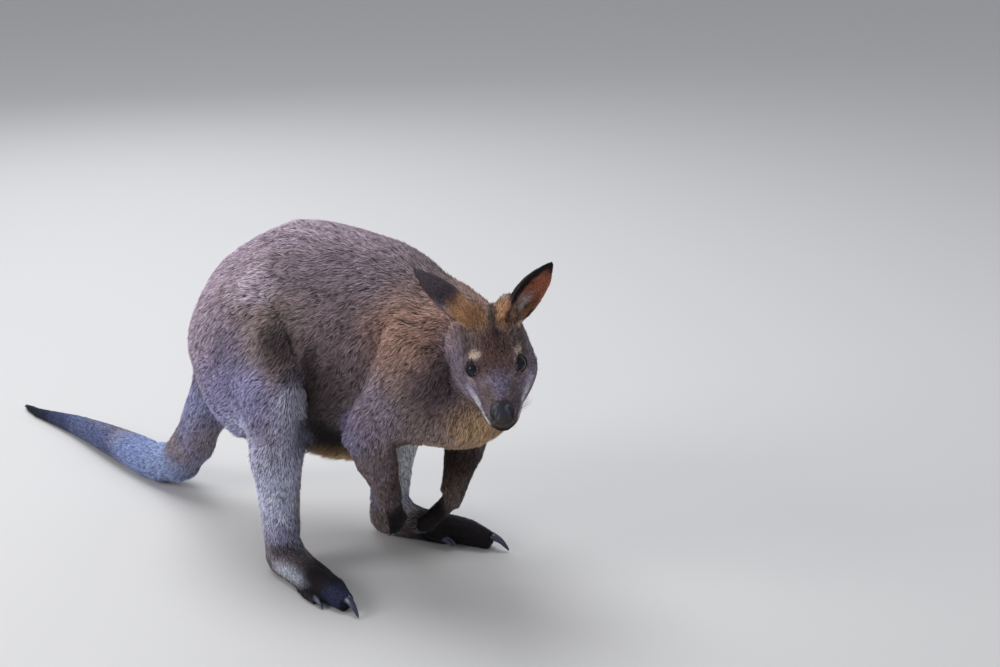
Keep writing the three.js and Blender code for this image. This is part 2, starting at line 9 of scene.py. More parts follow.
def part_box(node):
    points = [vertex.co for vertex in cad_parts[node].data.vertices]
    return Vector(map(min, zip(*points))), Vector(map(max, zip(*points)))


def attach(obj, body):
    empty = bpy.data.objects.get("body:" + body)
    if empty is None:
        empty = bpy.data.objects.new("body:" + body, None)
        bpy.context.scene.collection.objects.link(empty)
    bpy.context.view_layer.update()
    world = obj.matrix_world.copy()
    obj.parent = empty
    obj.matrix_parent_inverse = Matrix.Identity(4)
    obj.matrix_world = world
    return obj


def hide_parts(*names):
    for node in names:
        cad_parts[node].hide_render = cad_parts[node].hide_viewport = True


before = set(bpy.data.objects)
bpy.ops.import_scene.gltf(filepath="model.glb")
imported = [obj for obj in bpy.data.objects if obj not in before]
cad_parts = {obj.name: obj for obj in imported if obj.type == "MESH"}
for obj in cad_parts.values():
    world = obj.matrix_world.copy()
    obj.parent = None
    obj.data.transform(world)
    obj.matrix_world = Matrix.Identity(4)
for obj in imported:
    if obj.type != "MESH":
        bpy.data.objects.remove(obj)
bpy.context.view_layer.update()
mm = 0.001

# Body frame: millimetres from the floor point midway between the heels, +X is the way the
# body faces, +Y its left. Head frame: from midway between the pupils, towards the nose (f),
# to the left (l) and out of the forehead (u).
landmarks = {
    "midEye": (373, -77, 364),
    "eyeOnHead": (0.6, 25.7, -4.3),
    "eyeRadius": 10.5,
    "headYaw": -55,
    "headPitch": 55,
    "headTilt": 8,
}


def middleOf(node):
    low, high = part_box(node)
    return (low + high) / 2


headTurn = (Matrix.Rotation(math.radians(landmarks["headYaw"]), 3, "Z")
            @ Matrix.Rotation(math.radians(landmarks["headPitch"]), 3, "Y")
            @ Matrix.Rotation(math.radians(landmarks["headTilt"]), 3, "Z"))
eyeDepth = Vector((landmarks["eyeOnHead"][0], 0, landmarks["eyeOnHead"][2])) * mm
midEye = (middleOf("eye_right") + middleOf("eye_left")) / 2 - headTurn @ eyeDepth
origin = midEye - Vector(landmarks["midEye"]) * mm
headAxes = np.array(headTurn)
sides = {"right": -1, "left": 1}


def onBody(x, y, z):
    return origin + Vector((x, y, z)) * mm


def onHead(f, l, u):
    return midEye + headTurn @ Vector((f, l, u)) * mm


def toBody(points):
    return (points - np.array(origin)) / mm


def toHead(points):
    return (points - np.array(midEye)) @ headAxes / mm


def fromHead(points):
    return points * mm @ headAxes.T + np.array(midEye)


def smoothstep(low, high, x):
    t = np.clip((x - low) / (high - low), 0, 1)
    return t * t * (3 - 2 * t)


def unit(vectors):
    return vectors / np.maximum(np.linalg.norm(vectors, axis=-1, keepdims=True), 1e-9)


# A number from 0 to 1 for each whole-numbered cell.
def hashed(cells, seed):
    h = (cells[..., 0] * 73856093) ^ (cells[..., 1] * 19349663) ^ (cells[..., 2] * 83492791)
    h = (h ^ (seed * 2654435761)) & 0xFFFFFFFF
    h = ((h ^ (h >> 15)) * 2246822519) & 0xFFFFFFFF
    h = ((h ^ (h >> 13)) * 3266489917) & 0xFFFFFFFF
    return ((h ^ (h >> 16)) & 0xFFFFFF) / float(0xFFFFFF)


# Smooth noise from -1 to 1, with lumps about `size` across.
def noise(points, size, seed=0):
    p = points / size
    whole = np.floor(p).astype(np.int64)
    f = p - whole
    f = f * f * (3 - 2 * f)
    total = np.zeros(len(points))
    for corner in np.ndindex(2, 2, 2):
        weight = np.prod(np.where(corner, f, 1 - f), axis=1)
        total += weight * hashed(whole + corner, seed)
    return total * 2 - 1


# sRGB hex as linear red, green and blue.
def linear(colour):
    c = np.array([int(colour[i:i + 2], 16) for i in (1, 3, 5)]) / 255
    return np.where(c <= 0.04045, c / 12.92, ((c + 0.055) / 1.055) ** 2.4)


def arraysOf(mesh):
    mesh.calc_loop_triangles()
    points = np.empty(len(mesh.vertices) * 3, np.float32)
    mesh.vertices.foreach_get("co", points)
    triangles = np.empty(len(mesh.loop_triangles) * 3, np.int32)
    mesh.loop_triangles.foreach_get("vertices", triangles)
    return points.reshape(-1, 3).astype(float), triangles.reshape(-1, 3)


def normalsOf(points, triangles):
    a, b, c = (points[triangles[:, i]] for i in range(3))
    faceNormals = np.cross(b - a, c - a)
    total = np.zeros_like(points)
    for i in range(3):
        for axis in range(3):
            total[:, axis] += np.bincount(triangles[:, i], faceNormals[:, axis], len(points))
    return unit(total)


def meshOf(name, points, triangles):
    mesh = bpy.data.meshes.new(name)
    mesh.vertices.add(len(points))
    mesh.vertices.foreach_set("co", np.asarray(points, np.float32).ravel())
    mesh.loops.add(triangles.size)
    mesh.loops.foreach_set("vertex_index", np.asarray(triangles, np.int32).ravel())
    mesh.polygons.add(len(triangles))
    mesh.polygons.foreach_set("loop_start", np.arange(0, triangles.size, 3, dtype=np.int32))
    mesh.update(calc_edges=True)
    return mesh


def setPoints(mesh, points):
    mesh.vertices.foreach_set("co", np.asarray(points, np.float32).ravel())
    mesh.update()


# kind is FLOAT or FLOAT_COLOR, with one value for each vertex.
def setAttribute(mesh, name, kind, values):
    attribute = mesh.attributes.new(name, kind, "POINT")
    if kind == "FLOAT_COLOR":
        values = np.concatenate([values, np.ones((len(values), 1))], axis=1)
    key = "color" if kind == "FLOAT_COLOR" else "value"
    attribute.data.foreach_set(key, np.asarray(values, np.float32).ravel())


def addPiece(name, mesh):
    piece = bpy.data.objects.new(name, mesh)
    bpy.context.scene.collection.objects.link(piece)
    return piece


def applyModifiers(piece):
    graph = bpy.context.evaluated_depsgraph_get()
    made = bpy.data.meshes.new_from_object(piece.evaluated_get(graph))
    old = piece.data
    piece.modifiers.clear()
    piece.data = made
    bpy.data.meshes.remove(old)


def smoothShade(mesh):
    mesh.polygons.foreach_set("use_smooth", np.ones(len(mesh.polygons), bool))


# Averages a value over the vertices round each vertex.
class Neighbours:
    def __init__(self, triangles, count):
        ends = np.concatenate([triangles[:, [0, 1]], triangles[:, [1, 2]], triangles[:, [2, 0]]])
        self.a = np.concatenate([ends[:, 0], ends[:, 1]])
        self.b = np.concatenate([ends[:, 1], ends[:, 0]])
        self.count = count
        self.share = np.maximum(np.bincount(self.a, minlength=count), 1)

    def mean(self, values):
        if values.ndim == 1:
            return np.bincount(self.a, values[self.b], self.count) / self.share
        return np.stack([self.mean(values[:, i]) for i in range(values.shape[1])], axis=1)

    def smooth(self, values, rounds, strength=0.5):
        for _ in range(rounds):
            values = values + strength * (self.mean(values) - values)
        return values


# The lie of the coat. Each guide: part, place, the way the hair points, and its length in
# mm. Rows with a place off the middle stand for both sides. Head rows are in the head frame.
coatGuides = [
    # neck, back and rump
    ("torso", (318, -26, 420), (-0.8, 0.2, -0.2), 10),
    ("torso", (262, -8, 418), (-1, 0.1, -0.1), 13),
    ("torso", (190, 0, 446), (-1, 0, 0), 13.5),
    ("torso", (60, 0, 472), (-1, 0, -0.08), 14.5),
    ("torso", (-60, 0, 448), (-0.9, 0, -0.4), 14.5),
    ("torso", (-140, 0, 370), (-0.6, 0, -0.8), 13.5),
    ("torso", (-188, 0, 285), (-0.35, 0, -0.95), 13),
    # flanks
    ("torso", (200, 78, 400), (-0.8, 0.1, -0.6), 13),
    ("torso", (110, 88, 390), (-0.8, 0.1, -0.6), 13.5),
    ("torso", (10, 96, 400), (-0.75, 0.1, -0.65), 13.5),
    ("torso", (120, 98, 320), (-0.7, 0, -0.7), 13.5),
    ("torso", (90, 102, 250), (-0.75, 0, -0.65), 14.5),
    ("torso", (150, 60, 205), (-0.8, -0.1, -0.55), 15.5),
    ("torso", (40, 0, 180), (-0.9, 0, -0.35), 20),
    ("torso", (160, 0, 215), (-0.8, 0, -0.5), 16),
    # neck, shoulder and chest
    ("torso", (290, 40, 380), (-0.7, 0.4, -0.6), 11),
    ("torso", (300, -80, 370), (-0.7, -0.2, -0.7), 11),
    ("torso", (320, -40, 310), (-0.4, 0.1, -0.9), 13),
    ("torso", (296, 10, 280), (-0.3, 0, -0.95), 15.5),
    ("torso", (240, 0, 232), (-0.6, 0, -0.75), 16),
    ("torso", (246, 92, 340), (-0.6, 0.1, -0.8), 12),
    ("torso", (205, 98, 270), (-0.4, 0, -0.92), 11),
    # haunch and thigh
    ("torso", (-90, 84, 380), (-0.7, 0.2, -0.7), 13.5),
    ("torso", (-30, 128, 340), (-0.5, 0.1, -0.85), 13),
    ("torso", (50, 128, 310), (-0.4, 0, -0.9), 12),
    ("torso", (-30, 138, 270), (-0.65, 0, -0.75), 13),
    ("torso", (-110, 90, 270), (-0.75, 0, -0.65), 13.5),
    ("torso", (-60, 110, 200), (-0.85, 0, -0.5), 13),
    ("torso", (60, 130, 240), (-0.5, 0, -0.85), 10),
    # legs
    ("leg", (60, 116, 240), (-0.4, 0, -0.9), 11),
    ("leg", (0, 116, 200), (-0.7, 0, -0.7), 13),
    ("leg", (10, 105, 130), (-0.45, 0, -0.9), 9),
    ("leg", (44, 92, 80), (-0.2, 0, -1), 8),
    ("leg", (10, 92, 60), (-0.45, 0, -0.85), 9),
    ("leg", (12, 92, 22), (0.5, 0, -0.6), 6),
    ("leg", (60, 98, 44), (0.95, 0.15, -0.3), 6),
    ("leg", (110, 108, 40), (0.95, 0.2, -0.1), 5),
    ("leg", (180, 122, 26), (0.95, 0.2, -0.25), 4),
    # arms
    ("arm", (190, 96, 240), (-0.1, 0, -1), 10),
    ("arm", (190, 74, 180), (-0.05, -0.3, -0.95), 8.5),
    ("arm", (196, 36, 125), (0, -0.4, -0.9), 6),
    ("arm", (194, 20, 96), (0, -0.4, -0.9), 3.6),
    ("arm", (194, 10, 76), (0, -0.4, -0.9), 2.4),
    # face
    ("head", (74, 0, -10), (-1, 0, 0.3), 1.2),
    ("head", (54, 0, -2), (-1, 0, 0.1), 1.8),
    ("head", (28, 0, 2), (-1, 0, 0.1), 2.8),
    ("head", (0, 0, 10), (-1, 0, 0.2), 4),
    ("head", (-40, 0, 14), (-1, 0, 0.1), 6),
    ("head", (-72, 0, -10), (-0.8, 0, -0.6), 9),
    ("head", (58, 14, -24), (-0.95, 0.25, -0.2), 1.8),
    ("head", (36, 22, -26), (-1, 0.2, -0.1), 2.8),
    ("head", (12, 30, -24), (-1, 0.15, -0.2), 3.6),
    ("head", (-2, 34, 2), (-1, 0.2, 0.5), 2.6),
    ("head", (-20, 40, -20), (-1, 0.1, 0.1), 5.5),
    ("head", (-14, 44, -50), (-0.85, 0.2, -0.5), 9),
    ("head", (-44, 34, -50), (-0.8, 0.2, -0.6), 11),
    ("head", (40, 12, -46), (-1, 0.1, -0.3), 4),
    ("head", (0, 18, -66), (-0.9, 0.1, -0.45), 9),
    ("head", (-50, 26, 6), (-0.5, 0.4, 0.7), 6),
]
tailGuides = [
    ((-150, 0, 262), 14), ((-208, 4, 186), 13), ((-246, 10, 118), 12), ((-290, 18, 62), 11),
    ((-362, 30, 29), 10), ((-440, 46, 27), 9), ((-524, 66, 22), 8), ((-610, 86, 16), 7),
    ((-688, 98, 10), 6), ((-744, 104, 7), 7), ((-786, 117, 5), 9),
]
ears = {
    "right": {"base": (336, -84, 418), "tip": (272, -104, 466), "opening": (-0.673, -0.015, -0.74)},
    "left": {"base": (376, -52, 416), "tip": (424, -29, 490), "opening": (0.80, -0.45, -0.30)},
}
partOfNode = {"trunk": "torso", "neck": "torso", "thigh": "torso", "upper": "torso", "head": "head",
              "shank": "leg", "foot": "leg", "toe": "leg", "forearm": "arm", "hand": "arm",
              "tail": "tail", "ear": "ear", "eye": "head"}


# All guides in the scene's frame: part, place, direction, length in metres.
def guideRows():
    rows = []
    for part, at, way, length in coatGuides:
        for side in ((1, -1) if at[1] else (1,)):
            at2, way2 = (at[0], at[1] * side, at[2]), (way[0], way[1] * side, way[2])
            if part == "head":
                rows.append((part, onHead(*at2), headTurn @ Vector(way2), length * mm))
            else:
                rows.append((part, onBody(*at2), Vector(way2), length * mm))
    for n, (at, length) in enumerate(tailGuides):
        before, after = tailGuides[max(n - 1, 0)][0], tailGuides[min(n + 1, len(tailGuides) - 1)][0]
        rows.append(("tail", onBody(*at), Vector(after) - Vector(before), length * mm))
    for ear in ears.values():
        for share, length in ((0, 5.5), (0.3, 3.6), (0.7, 2.6), (1, 2.2)):
            at = onBody(*ear["base"]).lerp(onBody(*ear["tip"]), share)
            rows.append(("ear", at, Vector(ear["tip"]) - Vector(ear["base"]), length * mm))
    return rows


# The part that each point lies nearest to.
def partsAt(points, tree, fleshParts):
    return np.array([fleshParts[tree.find_nearest(p)[2]] for p in points.tolist()])


# Direction of the hair and its length at each point.
def coatField(points, parts):
    way, length = np.zeros_like(points), np.zeros(len(points))
    rows = guideRows()
    for part in sorted(set(parts)):
        here = parts == part
        mine = [r for r in rows if r[0] == part]
        places = np.array([r[1] for r in mine])
        ways = unit(np.array([r[2] for r in mine]))
        lengths = np.array([r[3] for r in mine])
        reach = {"head": 0.014, "ear": 0.03, "tail": 0.04}.get(part, 0.036)
        far = np.linalg.norm(points[here][:, None] - places[None], axis=2)
        near = far.min(axis=1, keepdims=True)
        weight = np.exp(-(far ** 2 - near ** 2) / (2 * reach ** 2))
        weight /= weight.sum(axis=1, keepdims=True)
        way[here] = unit(weight @ ways)
        length[here] = weight @ lengths
    return way, length


# What the coat is coloured with: a ground colour, then soft washes laid over it in turn.
# Each wash: frame, centre, radii, colour and strength. Washes off the middle stand for both
# sides.
groundColour = "#7b6c68"
washes = [
    # back, flanks and shoulder
    # painted sky sheen: the lilac of this wash and the next, over the back and rump, is partly light from
    # above and partly the coat's own grey
    ("body", (-30, 0, 480), (300, 130, 100), "#988793", 0.85),
    ("body", (-130, 60, 350), (130, 120, 140), "#9a8896", 0.8),
    ("body", (110, 60, 425), (130, 80, 60), "#665860", 0.8),
    # painted shade: this wash and the next two darken the flank downwards, to near black low between arm and
    # thigh, where shade falls
    ("body", (140, 90, 350), (100, 70, 80), "#5e4f54", 0.8),
    ("body", (110, 95, 262), (90, 60, 84), "#352c2e", 0.95),
    ("body", (100, 80, 210), (94, 54, 52), "#15100f", 1.0),
    ("body", (240, 80, 385), (75, 70, 75), "#8c6c5e", 0.85),
    ("body", (300, 0, 400), (60, 90, 60), "#866457", 0.85),
    ("body", (290, 80, 320), (45, 60, 60), "#4b3d42", 0.85),
    ("body", (205, 110, 275), (55, 40, 60), "#786c7c", 0.8),
    ("body", (170, 112, 238), (34, 34, 40), "#6f6a88", 0.7),
    # belly, chest and throat
    ("body", (60, 0, 160), (190, 92, 58), "#b8956c", 1.5),
    ("body", (240, 0, 225), (90, 62, 50), "#a58363", 0.95),
    ("body", (318, -30, 268), (45, 60, 50), "#ad8b6b", 0.95),
    # haunch and thigh
    ("body", (-60, 130, 330), (90, 50, 70), "#988998", 0.7),
    ("body", (-26, 144, 318), (46, 38, 58), "#5f5768", 0.8),
    # painted highlight on the top of the haunch
    ("body", (-8, 96, 404), (46, 40, 36), "#a594a0", 0.75),
    # painted sky light: the blue of this wash and the next is light from the sky in the haunch's shade, over
    # the coat's grey
    ("body", (-30, 135, 245), (100, 45, 80), "#7f7b9c", 0.9),
    ("body", (28, 156, 274), (54, 48, 58), "#7f7c9e", 0.85),
    # painted shade along the fold in front of the thigh, in this wash and the next
    ("body", (56, 126, 350), (32, 44, 48), "#382e2f", 0.9),
    ("body", (82, 126, 308), (18, 40, 36), "#534c55", 0.9),
    ("body", (76, 142, 250), (18, 32, 50), "#a3a2bd", 0.95),
    # painted sky light: blue in the shade low on the haunch, over the coat's grey
    ("body", (-50, 110, 205), (75, 50, 50), "#8886a8", 0.85),
    ("body", (82, 130, 270), (11, 26, 42), "#a5a2b4", 0.9),
    # painted shade in the fold between the flank and the thigh
    ("body", (101, 112, 306), (16, 34, 66), "#211816", 0.95),
    # shank, ankle and foot
    ("body", (25, 118, 145), (75, 60, 120), "#c4c6e8", 0.95),
    ("body", (66, 92, 110), (24, 24, 80), "#8d8474", 0.7),
    ("left", (90, 92, 118), (20, 34, 84), "#dfe0ea", 0.95),
    ("body", (40, 95, 70), (34, 40, 34), "#7f7d96", 0.8),
    ("body", (66, 100, 62), (20, 40, 26), "#a9b1c9", 0.8),
    ("body", (150, 118, 18), (104, 60, 46), "#171014", 1.5),
    # painted sheen: a blue glint on the toes, over their black
    ("body", (166, 150, 22), (34, 34, 24), "#2f3350", 0.8),
    ("body", (4, 100, 10), (50, 44, 22), "#4a4444", 0.9),
    ("body", (46, 116, 46), (42, 30, 14), "#463c3f", 0.9),
    ("body", (62, 136, 23), (52, 22, 13), "#ccd0e0", 0.95),
    # arms
    ("body", (185, 80, 200), (36, 36, 50), "#6d6069", 0.9),
    ("body", (190, 50, 150), (40, 46, 50), "#4f4448", 0.95),
    ("body", (210, 64, 170), (22, 24, 66), "#44332a", 0.8),
    ("body", (216, 74, 226), (22, 24, 28), "#3c3134", 0.8),
    ("left", (216, 55, 165), (40, 50, 74), "#261b1a", 0.95),
    ("body", (190, -14, 94), (46, 78, 46), "#120c0d", 1.6),
    # tail: grey, darkening to a black tip; the blue in these washes is painted sky light in the tail's shade
    ("body", (-215, 0, 160), (70, 60, 110), "#888bb0", 0.95),
    ("body", (-340, 20, 40), (140, 70, 60), "#828fb6", 1.2),
    ("body", (-400, 45, 22), (80, 80, 50), "#7886b0", 1.1),
    ("body", (-520, 60, 16), (100, 70, 40), "#525a7b", 1.4),
    ("body", (-610, 86, 14), (70, 70, 40), "#4f5878", 1.3),
    ("body", (-668, 94, 10), (56, 60, 40), "#353c5a", 1.4),
    ("body", (-738, 106, 8), (66, 60, 40), "#1b1e30", 1.3),
    ("body", (-780, 112, 5), (60, 60, 40), "#12131d", 1.5),
    ("body", (-208, -4, 114), (36, 60, 56), "#84716a", 0.6),
    ("body", (-240, 14, 44), (52, 60, 22), "#7b6c62", 0.6),
    # head: brown crown and forehead, mauve-grey cheeks and muzzle
    ("head", (-10, 0, -20), (80, 56, 58), "#6b5b5b", 1.4),
    ("head", (-14, 0, 12), (48, 30, 20), "#553f3a", 0.95),
    ("head", (-58, 17, 8), (24, 17, 24), "#9c7551", 0.9),
    ("head", (-5, 46, -30), (46, 20, 30), "#7a6f7c", 0.85),
    ("head", (22, 32, -20), (20, 14, 14), "#877a92", 0.7),
    ("head", (-46, 46, -44), (26, 22, 26), "#88777f", 0.7),
    ("head", (30, 2, 2), (27, 14, 14), "#807890", 0.85),
    ("head", (18, 20, -3), (16, 8, 11), "#83767f", 0.6),
    ("head", (44, 19, -20), (24, 12, 13), "#63535f", 0.9),
    # the chin: dark fur made near black with painted shade under the jaw
    ("head", (76, 0, -31), (25, 26, 20), "#0e0908", 1.5),
    ("head", (0, 12, -74), (50, 26, 22), "#a38a6c", 0.95),
    ("head", (10, 38, -36), (20, 12, 10), "#a59ba8", 0.6),
    ("head", (-27, 34, 2), (14, 10, 12), "#524140", 0.6),
]
# Small marks, with hardly any warp: cream brow spots, the pale mark under the eye, the white
# stripe along the upper lip, the dark line down the forehead, and the dark rims of the eyes.
markShift = 3
marks = [
    ("spot", (-12, 28.5, 4), (7, 10.5, 6.5), "#cdb19e", 1.4),
    ("spot", (12, 32.5, -11), (6, 5, 5), "#b7a08d", 0.85),
    ("spot", (20, 13, 3), (6, 5, 6), "#9d92a3", 0.6),
    ("line", [(14, 36, -25), (34, 29.5, -27), (48, 24, -27)], 5.6, "#bcb4ca", 1.0),
    ("line", [(30, 30.5, -26.5), (50, 23.5, -26), (64, 18, -25)], 4.8, "#f8f6fa", 1.4),
    ("line", [(-72, -2.5, 2), (-50, -2.5, 14), (-26, -1, 13)], 3.2, "#1f1514", 0.8),
    ("line", [(9, 23, 1), (17, 19, -1)], 2.8, "#2b2222", 0.8),
    ("line", [(-12, 33, -4), (-24, 37, -9)], 3.4, "#2f2524", 0.7),
]


# How far each point is from a bent line, and if asked the x of its nearest place.
def farFromLine(points, line, withX=False):
    least, x = np.full(len(points), 1e9), np.zeros(len(points))
    for start, end in zip(line[:-1], line[1:]):
        start, end = np.array(start, float), np.array(end, float)
        t = np.clip((points - start) @ (end - start) / np.sum((end - start) ** 2), 0, 1)
        nearest = start + t[:, None] * (end - start)
        far = np.linalg.norm(points - nearest, axis=1)
        x = np.where(far < least, nearest[:, 0], x)
        least = np.minimum(least, far)
    return (least, x) if withX else least


# The coat's colour at each point, linear.
def coatColour(points):
    frames = {"body": toBody(points), "head": toHead(points)}
    warp = np.stack([noise(points, 0.024, s) for s in (11, 12, 13)], axis=1)
    fine = np.stack([noise(points, 0.004, s) for s in (14, 15, 16)], axis=1)
    colour = np.tile(linear(groundColour), (len(points), 1))
    for space, centre, radii, paint, strength in washes:
        at = frames["head" if space == "head" else "body"] + warp * np.minimum(radii, 40) * 0.14
        both = centre[1] > 5 if space == "head" else space == "body" and centre[1] > 39
        for side in ((1, -1) if both else (1,)):
            d = np.linalg.norm((at - np.array(centre) * (1, side, 1)) / radii, axis=1)
            cover = np.clip(strength * (1 - smoothstep(0.3, 1.2, d)), 0, 1)[:, None]
            colour = colour * (1 - cover) + linear(paint) * cover
    at = frames["head"] + fine * 1.1 - np.array((0, markShift, 0))
    for kind, place, size, paint, strength in marks:
        for side in (1, -1):
            flipped = at * (1, side, 1)
            if kind == "spot":
                d = np.linalg.norm((flipped - np.array(place)) / size, axis=1)
            else:
                d = farFromLine(flipped, place) / size
            cover = np.clip(strength * (1 - smoothstep(0.45, 1.15, d)), 0, 1)[:, None]
            colour = colour * (1 - cover) + linear(paint) * cover
    return colour


# Ears: black-brown outside, buff at the root, and a warm inside with a black band along the
# crown side, pale streaks of hair low down, a dark hollow, and a cream tuft at the corner.
earPaint = {"back": "#3e343b", "root": "#bf8d68", "inside": "#ad6a52", "rim": "#1f1618",
            "hollow": "#2d1d19", "streak": "#c9b8b4", "tuft": "#d8c2a4", "fringe": "#c3bccb"}
earWidth = ((-0.1, 0.05, 0.22, 0.42, 0.62, 0.8, 0.93, 1.05), (15, 16, 20, 22, 21, 16.5, 10, 3))


# Place on an ear: share of its length, millimetres across it and towards its opening.
def earFrame(points, ear):
    base, tip = np.array(onBody(*ear["base"])), np.array(onBody(*ear["tip"]))
    axis = unit(tip - base)
    inside = np.array(ear["opening"], float)
    inside = unit(inside - axis * (inside @ axis))
    across = np.cross(axis, inside)
    return {"along": (points - base) @ axis / np.linalg.norm(tip - base),
            "across": (points - base) @ across / mm, "axis": axis, "side": across, "inside": inside,
            "far": np.linalg.norm(points - (base + tip) / 2, axis=1)}


def mixed(low, high, share):
    return low + (high - low) * share[:, None]


def earColour(points, normals):
    colour = np.zeros_like(points)
    best = np.full(len(points), 1e9)
    for ear in ears.values():
        place = earFrame(points, ear)
        along = place["along"] + 0.05 * noise(points, 0.007, 21)
        width = np.interp(along, *earWidth)
        share = place["across"] / width + 0.08 * noise(points, 0.005, 24)
        paint = np.tile(linear(earPaint["back"]), (len(points), 1))
        paint = mixed(paint, linear(earPaint["root"]), 1 - smoothstep(0.16, 0.4, along))
        paint = mixed(paint, linear(earPaint["rim"]), (1 - smoothstep(-0.85, -0.6, share))
                      * smoothstep(0.12, 0.24, along))
        bowl = np.tile(linear(earPaint["inside"]), (len(points), 1))
        stripes = smoothstep(-0.1, 0.5, noise(np.stack([share * 4, along * 3, along * 0], 1), 1, 22))
        low = smoothstep(0.02, 0.12, along) * (1 - smoothstep(0.28, 0.46, along))
        bowl = mixed(bowl, linear(earPaint["streak"]), (0.4 + 0.6 * stripes) * low
                     * smoothstep(-0.05, 0.12, share) * (1 - smoothstep(0.5, 0.68, share)))
        bowl = mixed(bowl, linear(earPaint["hollow"]), (1 - smoothstep(0.2, 0.34, along))
                     * smoothstep(0.52, 0.68, share))
        bowl = mixed(bowl, linear(earPaint["rim"]), 1 - smoothstep(-0.12, 0.12, share))
        bowl = mixed(bowl, linear(earPaint["rim"]), smoothstep(0.7, 0.88, along))
        bowl = mixed(bowl, linear(earPaint["tuft"]), (1 - smoothstep(0.02, 0.12, along))
                     * smoothstep(0.3, 0.6, share))
        paint = mixed(paint, bowl, smoothstep(0.1, 0.5, normals @ place["inside"]))
        paint = mixed(paint, linear(earPaint["fringe"]), 0.8 * smoothstep(0.82, 0.98, share)
                      * (1 - smoothstep(0.3, 0.6, along)))
        here = place["far"] < best
        colour[here] = paint[here]
        best = np.minimum(best, place["far"])
    return colour


# Draws the ears' tips out to a point.
def sculptEars(points, parts):
    for ear in ears.values():
        place = earFrame(points, ear)
        t = smoothstep(0.72, 1, place["along"]) * (place["far"] < 0.07) * (parts == "ear")
        points = points + place["axis"] * (t * 4.5 * mm)[:, None]
        points = points - place["side"] * (place["across"] * t * 0.4 * mm)[:, None]
    return points


# The skin: all flesh solids joined, remeshed as one, smoothed, and drawn in by the coat's
# depth. The trunk's large facets need the most smoothing.
skinShape = {
    "overlap": 0.0005,       # closes the cuts between the solids
    "voxel": 0.0021,
    "torsoRounds": 150,
    "fineRounds": 5,
    "swell": 0.0015,         # makes up for what smoothing takes off the trunk
    "triangles": 132000,
    "depthShare": 0.33,      # how deep the skin lies, as a share of the hair's length
}
fleshNodes = [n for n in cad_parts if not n.startswith(("claw", "eye"))]
eyeNodes = ["eye_right", "eye_left"]


# One mesh of all flesh solids, and the part that each of its triangles is of.
def joinedFlesh():
    parts, allPoints, allTriangles, start = [], [], [], 0
    for name in fleshNodes + eyeNodes:
        bm = bmesh.new()
        bm.from_mesh(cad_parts[name].data)
        bmesh.ops.remove_doubles(bm, verts=bm.verts, dist=1e-6)
        bmesh.ops.triangulate(bm, faces=bm.faces)
        bm.verts.index_update()
        points = np.array([v.co for v in bm.verts])
        triangles = np.array([[v.index for v in f.verts] for f in bm.faces])
        bm.free()
        points = points + normalsOf(points, triangles) * skinShape["overlap"]
        allPoints.append(points)
        allTriangles.append(triangles + start)
        parts += [partOfNode[name.split("_")[0]]] * len(triangles)
        start += len(points)
    return np.concatenate(allPoints), np.concatenate(allTriangles), parts


# The joined solids as one even closed mesh.
def remeshed(points, triangles):
    piece = addPiece("skin", meshOf("skin", points, triangles))
    remesh = piece.modifiers.new("remesh", "REMESH")
    remesh.mode = "VOXEL"
    remesh.voxel_size = skinShape["voxel"]
    applyModifiers(piece)
    return piece


def smoothed(piece, weights, rounds):
    group = piece.vertex_groups.new(name="soft")
    for step in range(1, 21):
        chosen = np.nonzero(np.round(weights * 20) == step)[0]
        if len(chosen):
            group.add(chosen.tolist(), step / 20, "REPLACE")
    smooth = piece.modifiers.new("smooth", "SMOOTH")
    smooth.factor = 0.5
    smooth.iterations = rounds
    smooth.vertex_group = "soft"
    applyModifiers(piece)
    piece.vertex_groups.clear()


def thinned(piece, count):
    now = sum(len(p.vertices) - 2 for p in piece.data.polygons)
    thin = piece.modifiers.new("thin", "DECIMATE")
    thin.ratio = min(count / now, 1)
    thin.use_collapse_triangulate = True
    applyModifiers(piece)


# Folds where a limb meets the body. Each: side, line in the body frame, and which way along
# the body the limb's swelling lies.
folds = [
    (-1, [(8, 104, 404), (40, 109, 384), (66, 114, 350), (84, 119, 312), (92, 120, 275),
          (94, 116, 235), (90, 96, 205)], -1),
    (1, [(32, 100, 404), (66, 104, 380), (96, 108, 345), (112, 112, 308), (122, 112, 272),
         (126, 106, 232), (120, 90, 205)], -1),
    (-1, [(202, 88, 385), (190, 96, 352), (174, 101, 316), (160, 103, 282), (154, 106, 250),
          (164, 92, 226)], 1),
    (1, [(206, 80, 372), (198, 92, 345), (192, 100, 305), (188, 105, 268), (188, 104, 236),
         (198, 90, 212)], 1),
]


# Deepens the folds and swells the limb beside them.
def sculptFolds(points, normals):
    at = toBody(points)
    lift = np.zeros(len(at))
    for side, line, swell in folds:
        flipped = at * (1, side, 1)
        far, x = farFromLine(flipped, line, True)
        limb = smoothstep(-6, 10, (flipped[:, 0] - x) * swell)
        lift = lift - 8 * np.exp(-(far / 11) ** 2) + 4 * limb * np.exp(-((far - 30) / 15) ** 2)
    return points + normals * (lift * mm)[:, None]


# Places on the face that want finer triangles: centre in the head frame, radius, edge length.
fineSpots = [((2, 27, 2), 19, 1.1), ((2, -27, 2), 19, 1.1), ((64, 0, -12), 24, 1.3),
             ((2, 27, 2), 15, 0.7), ((2, -27, 2), 15, 0.7)]


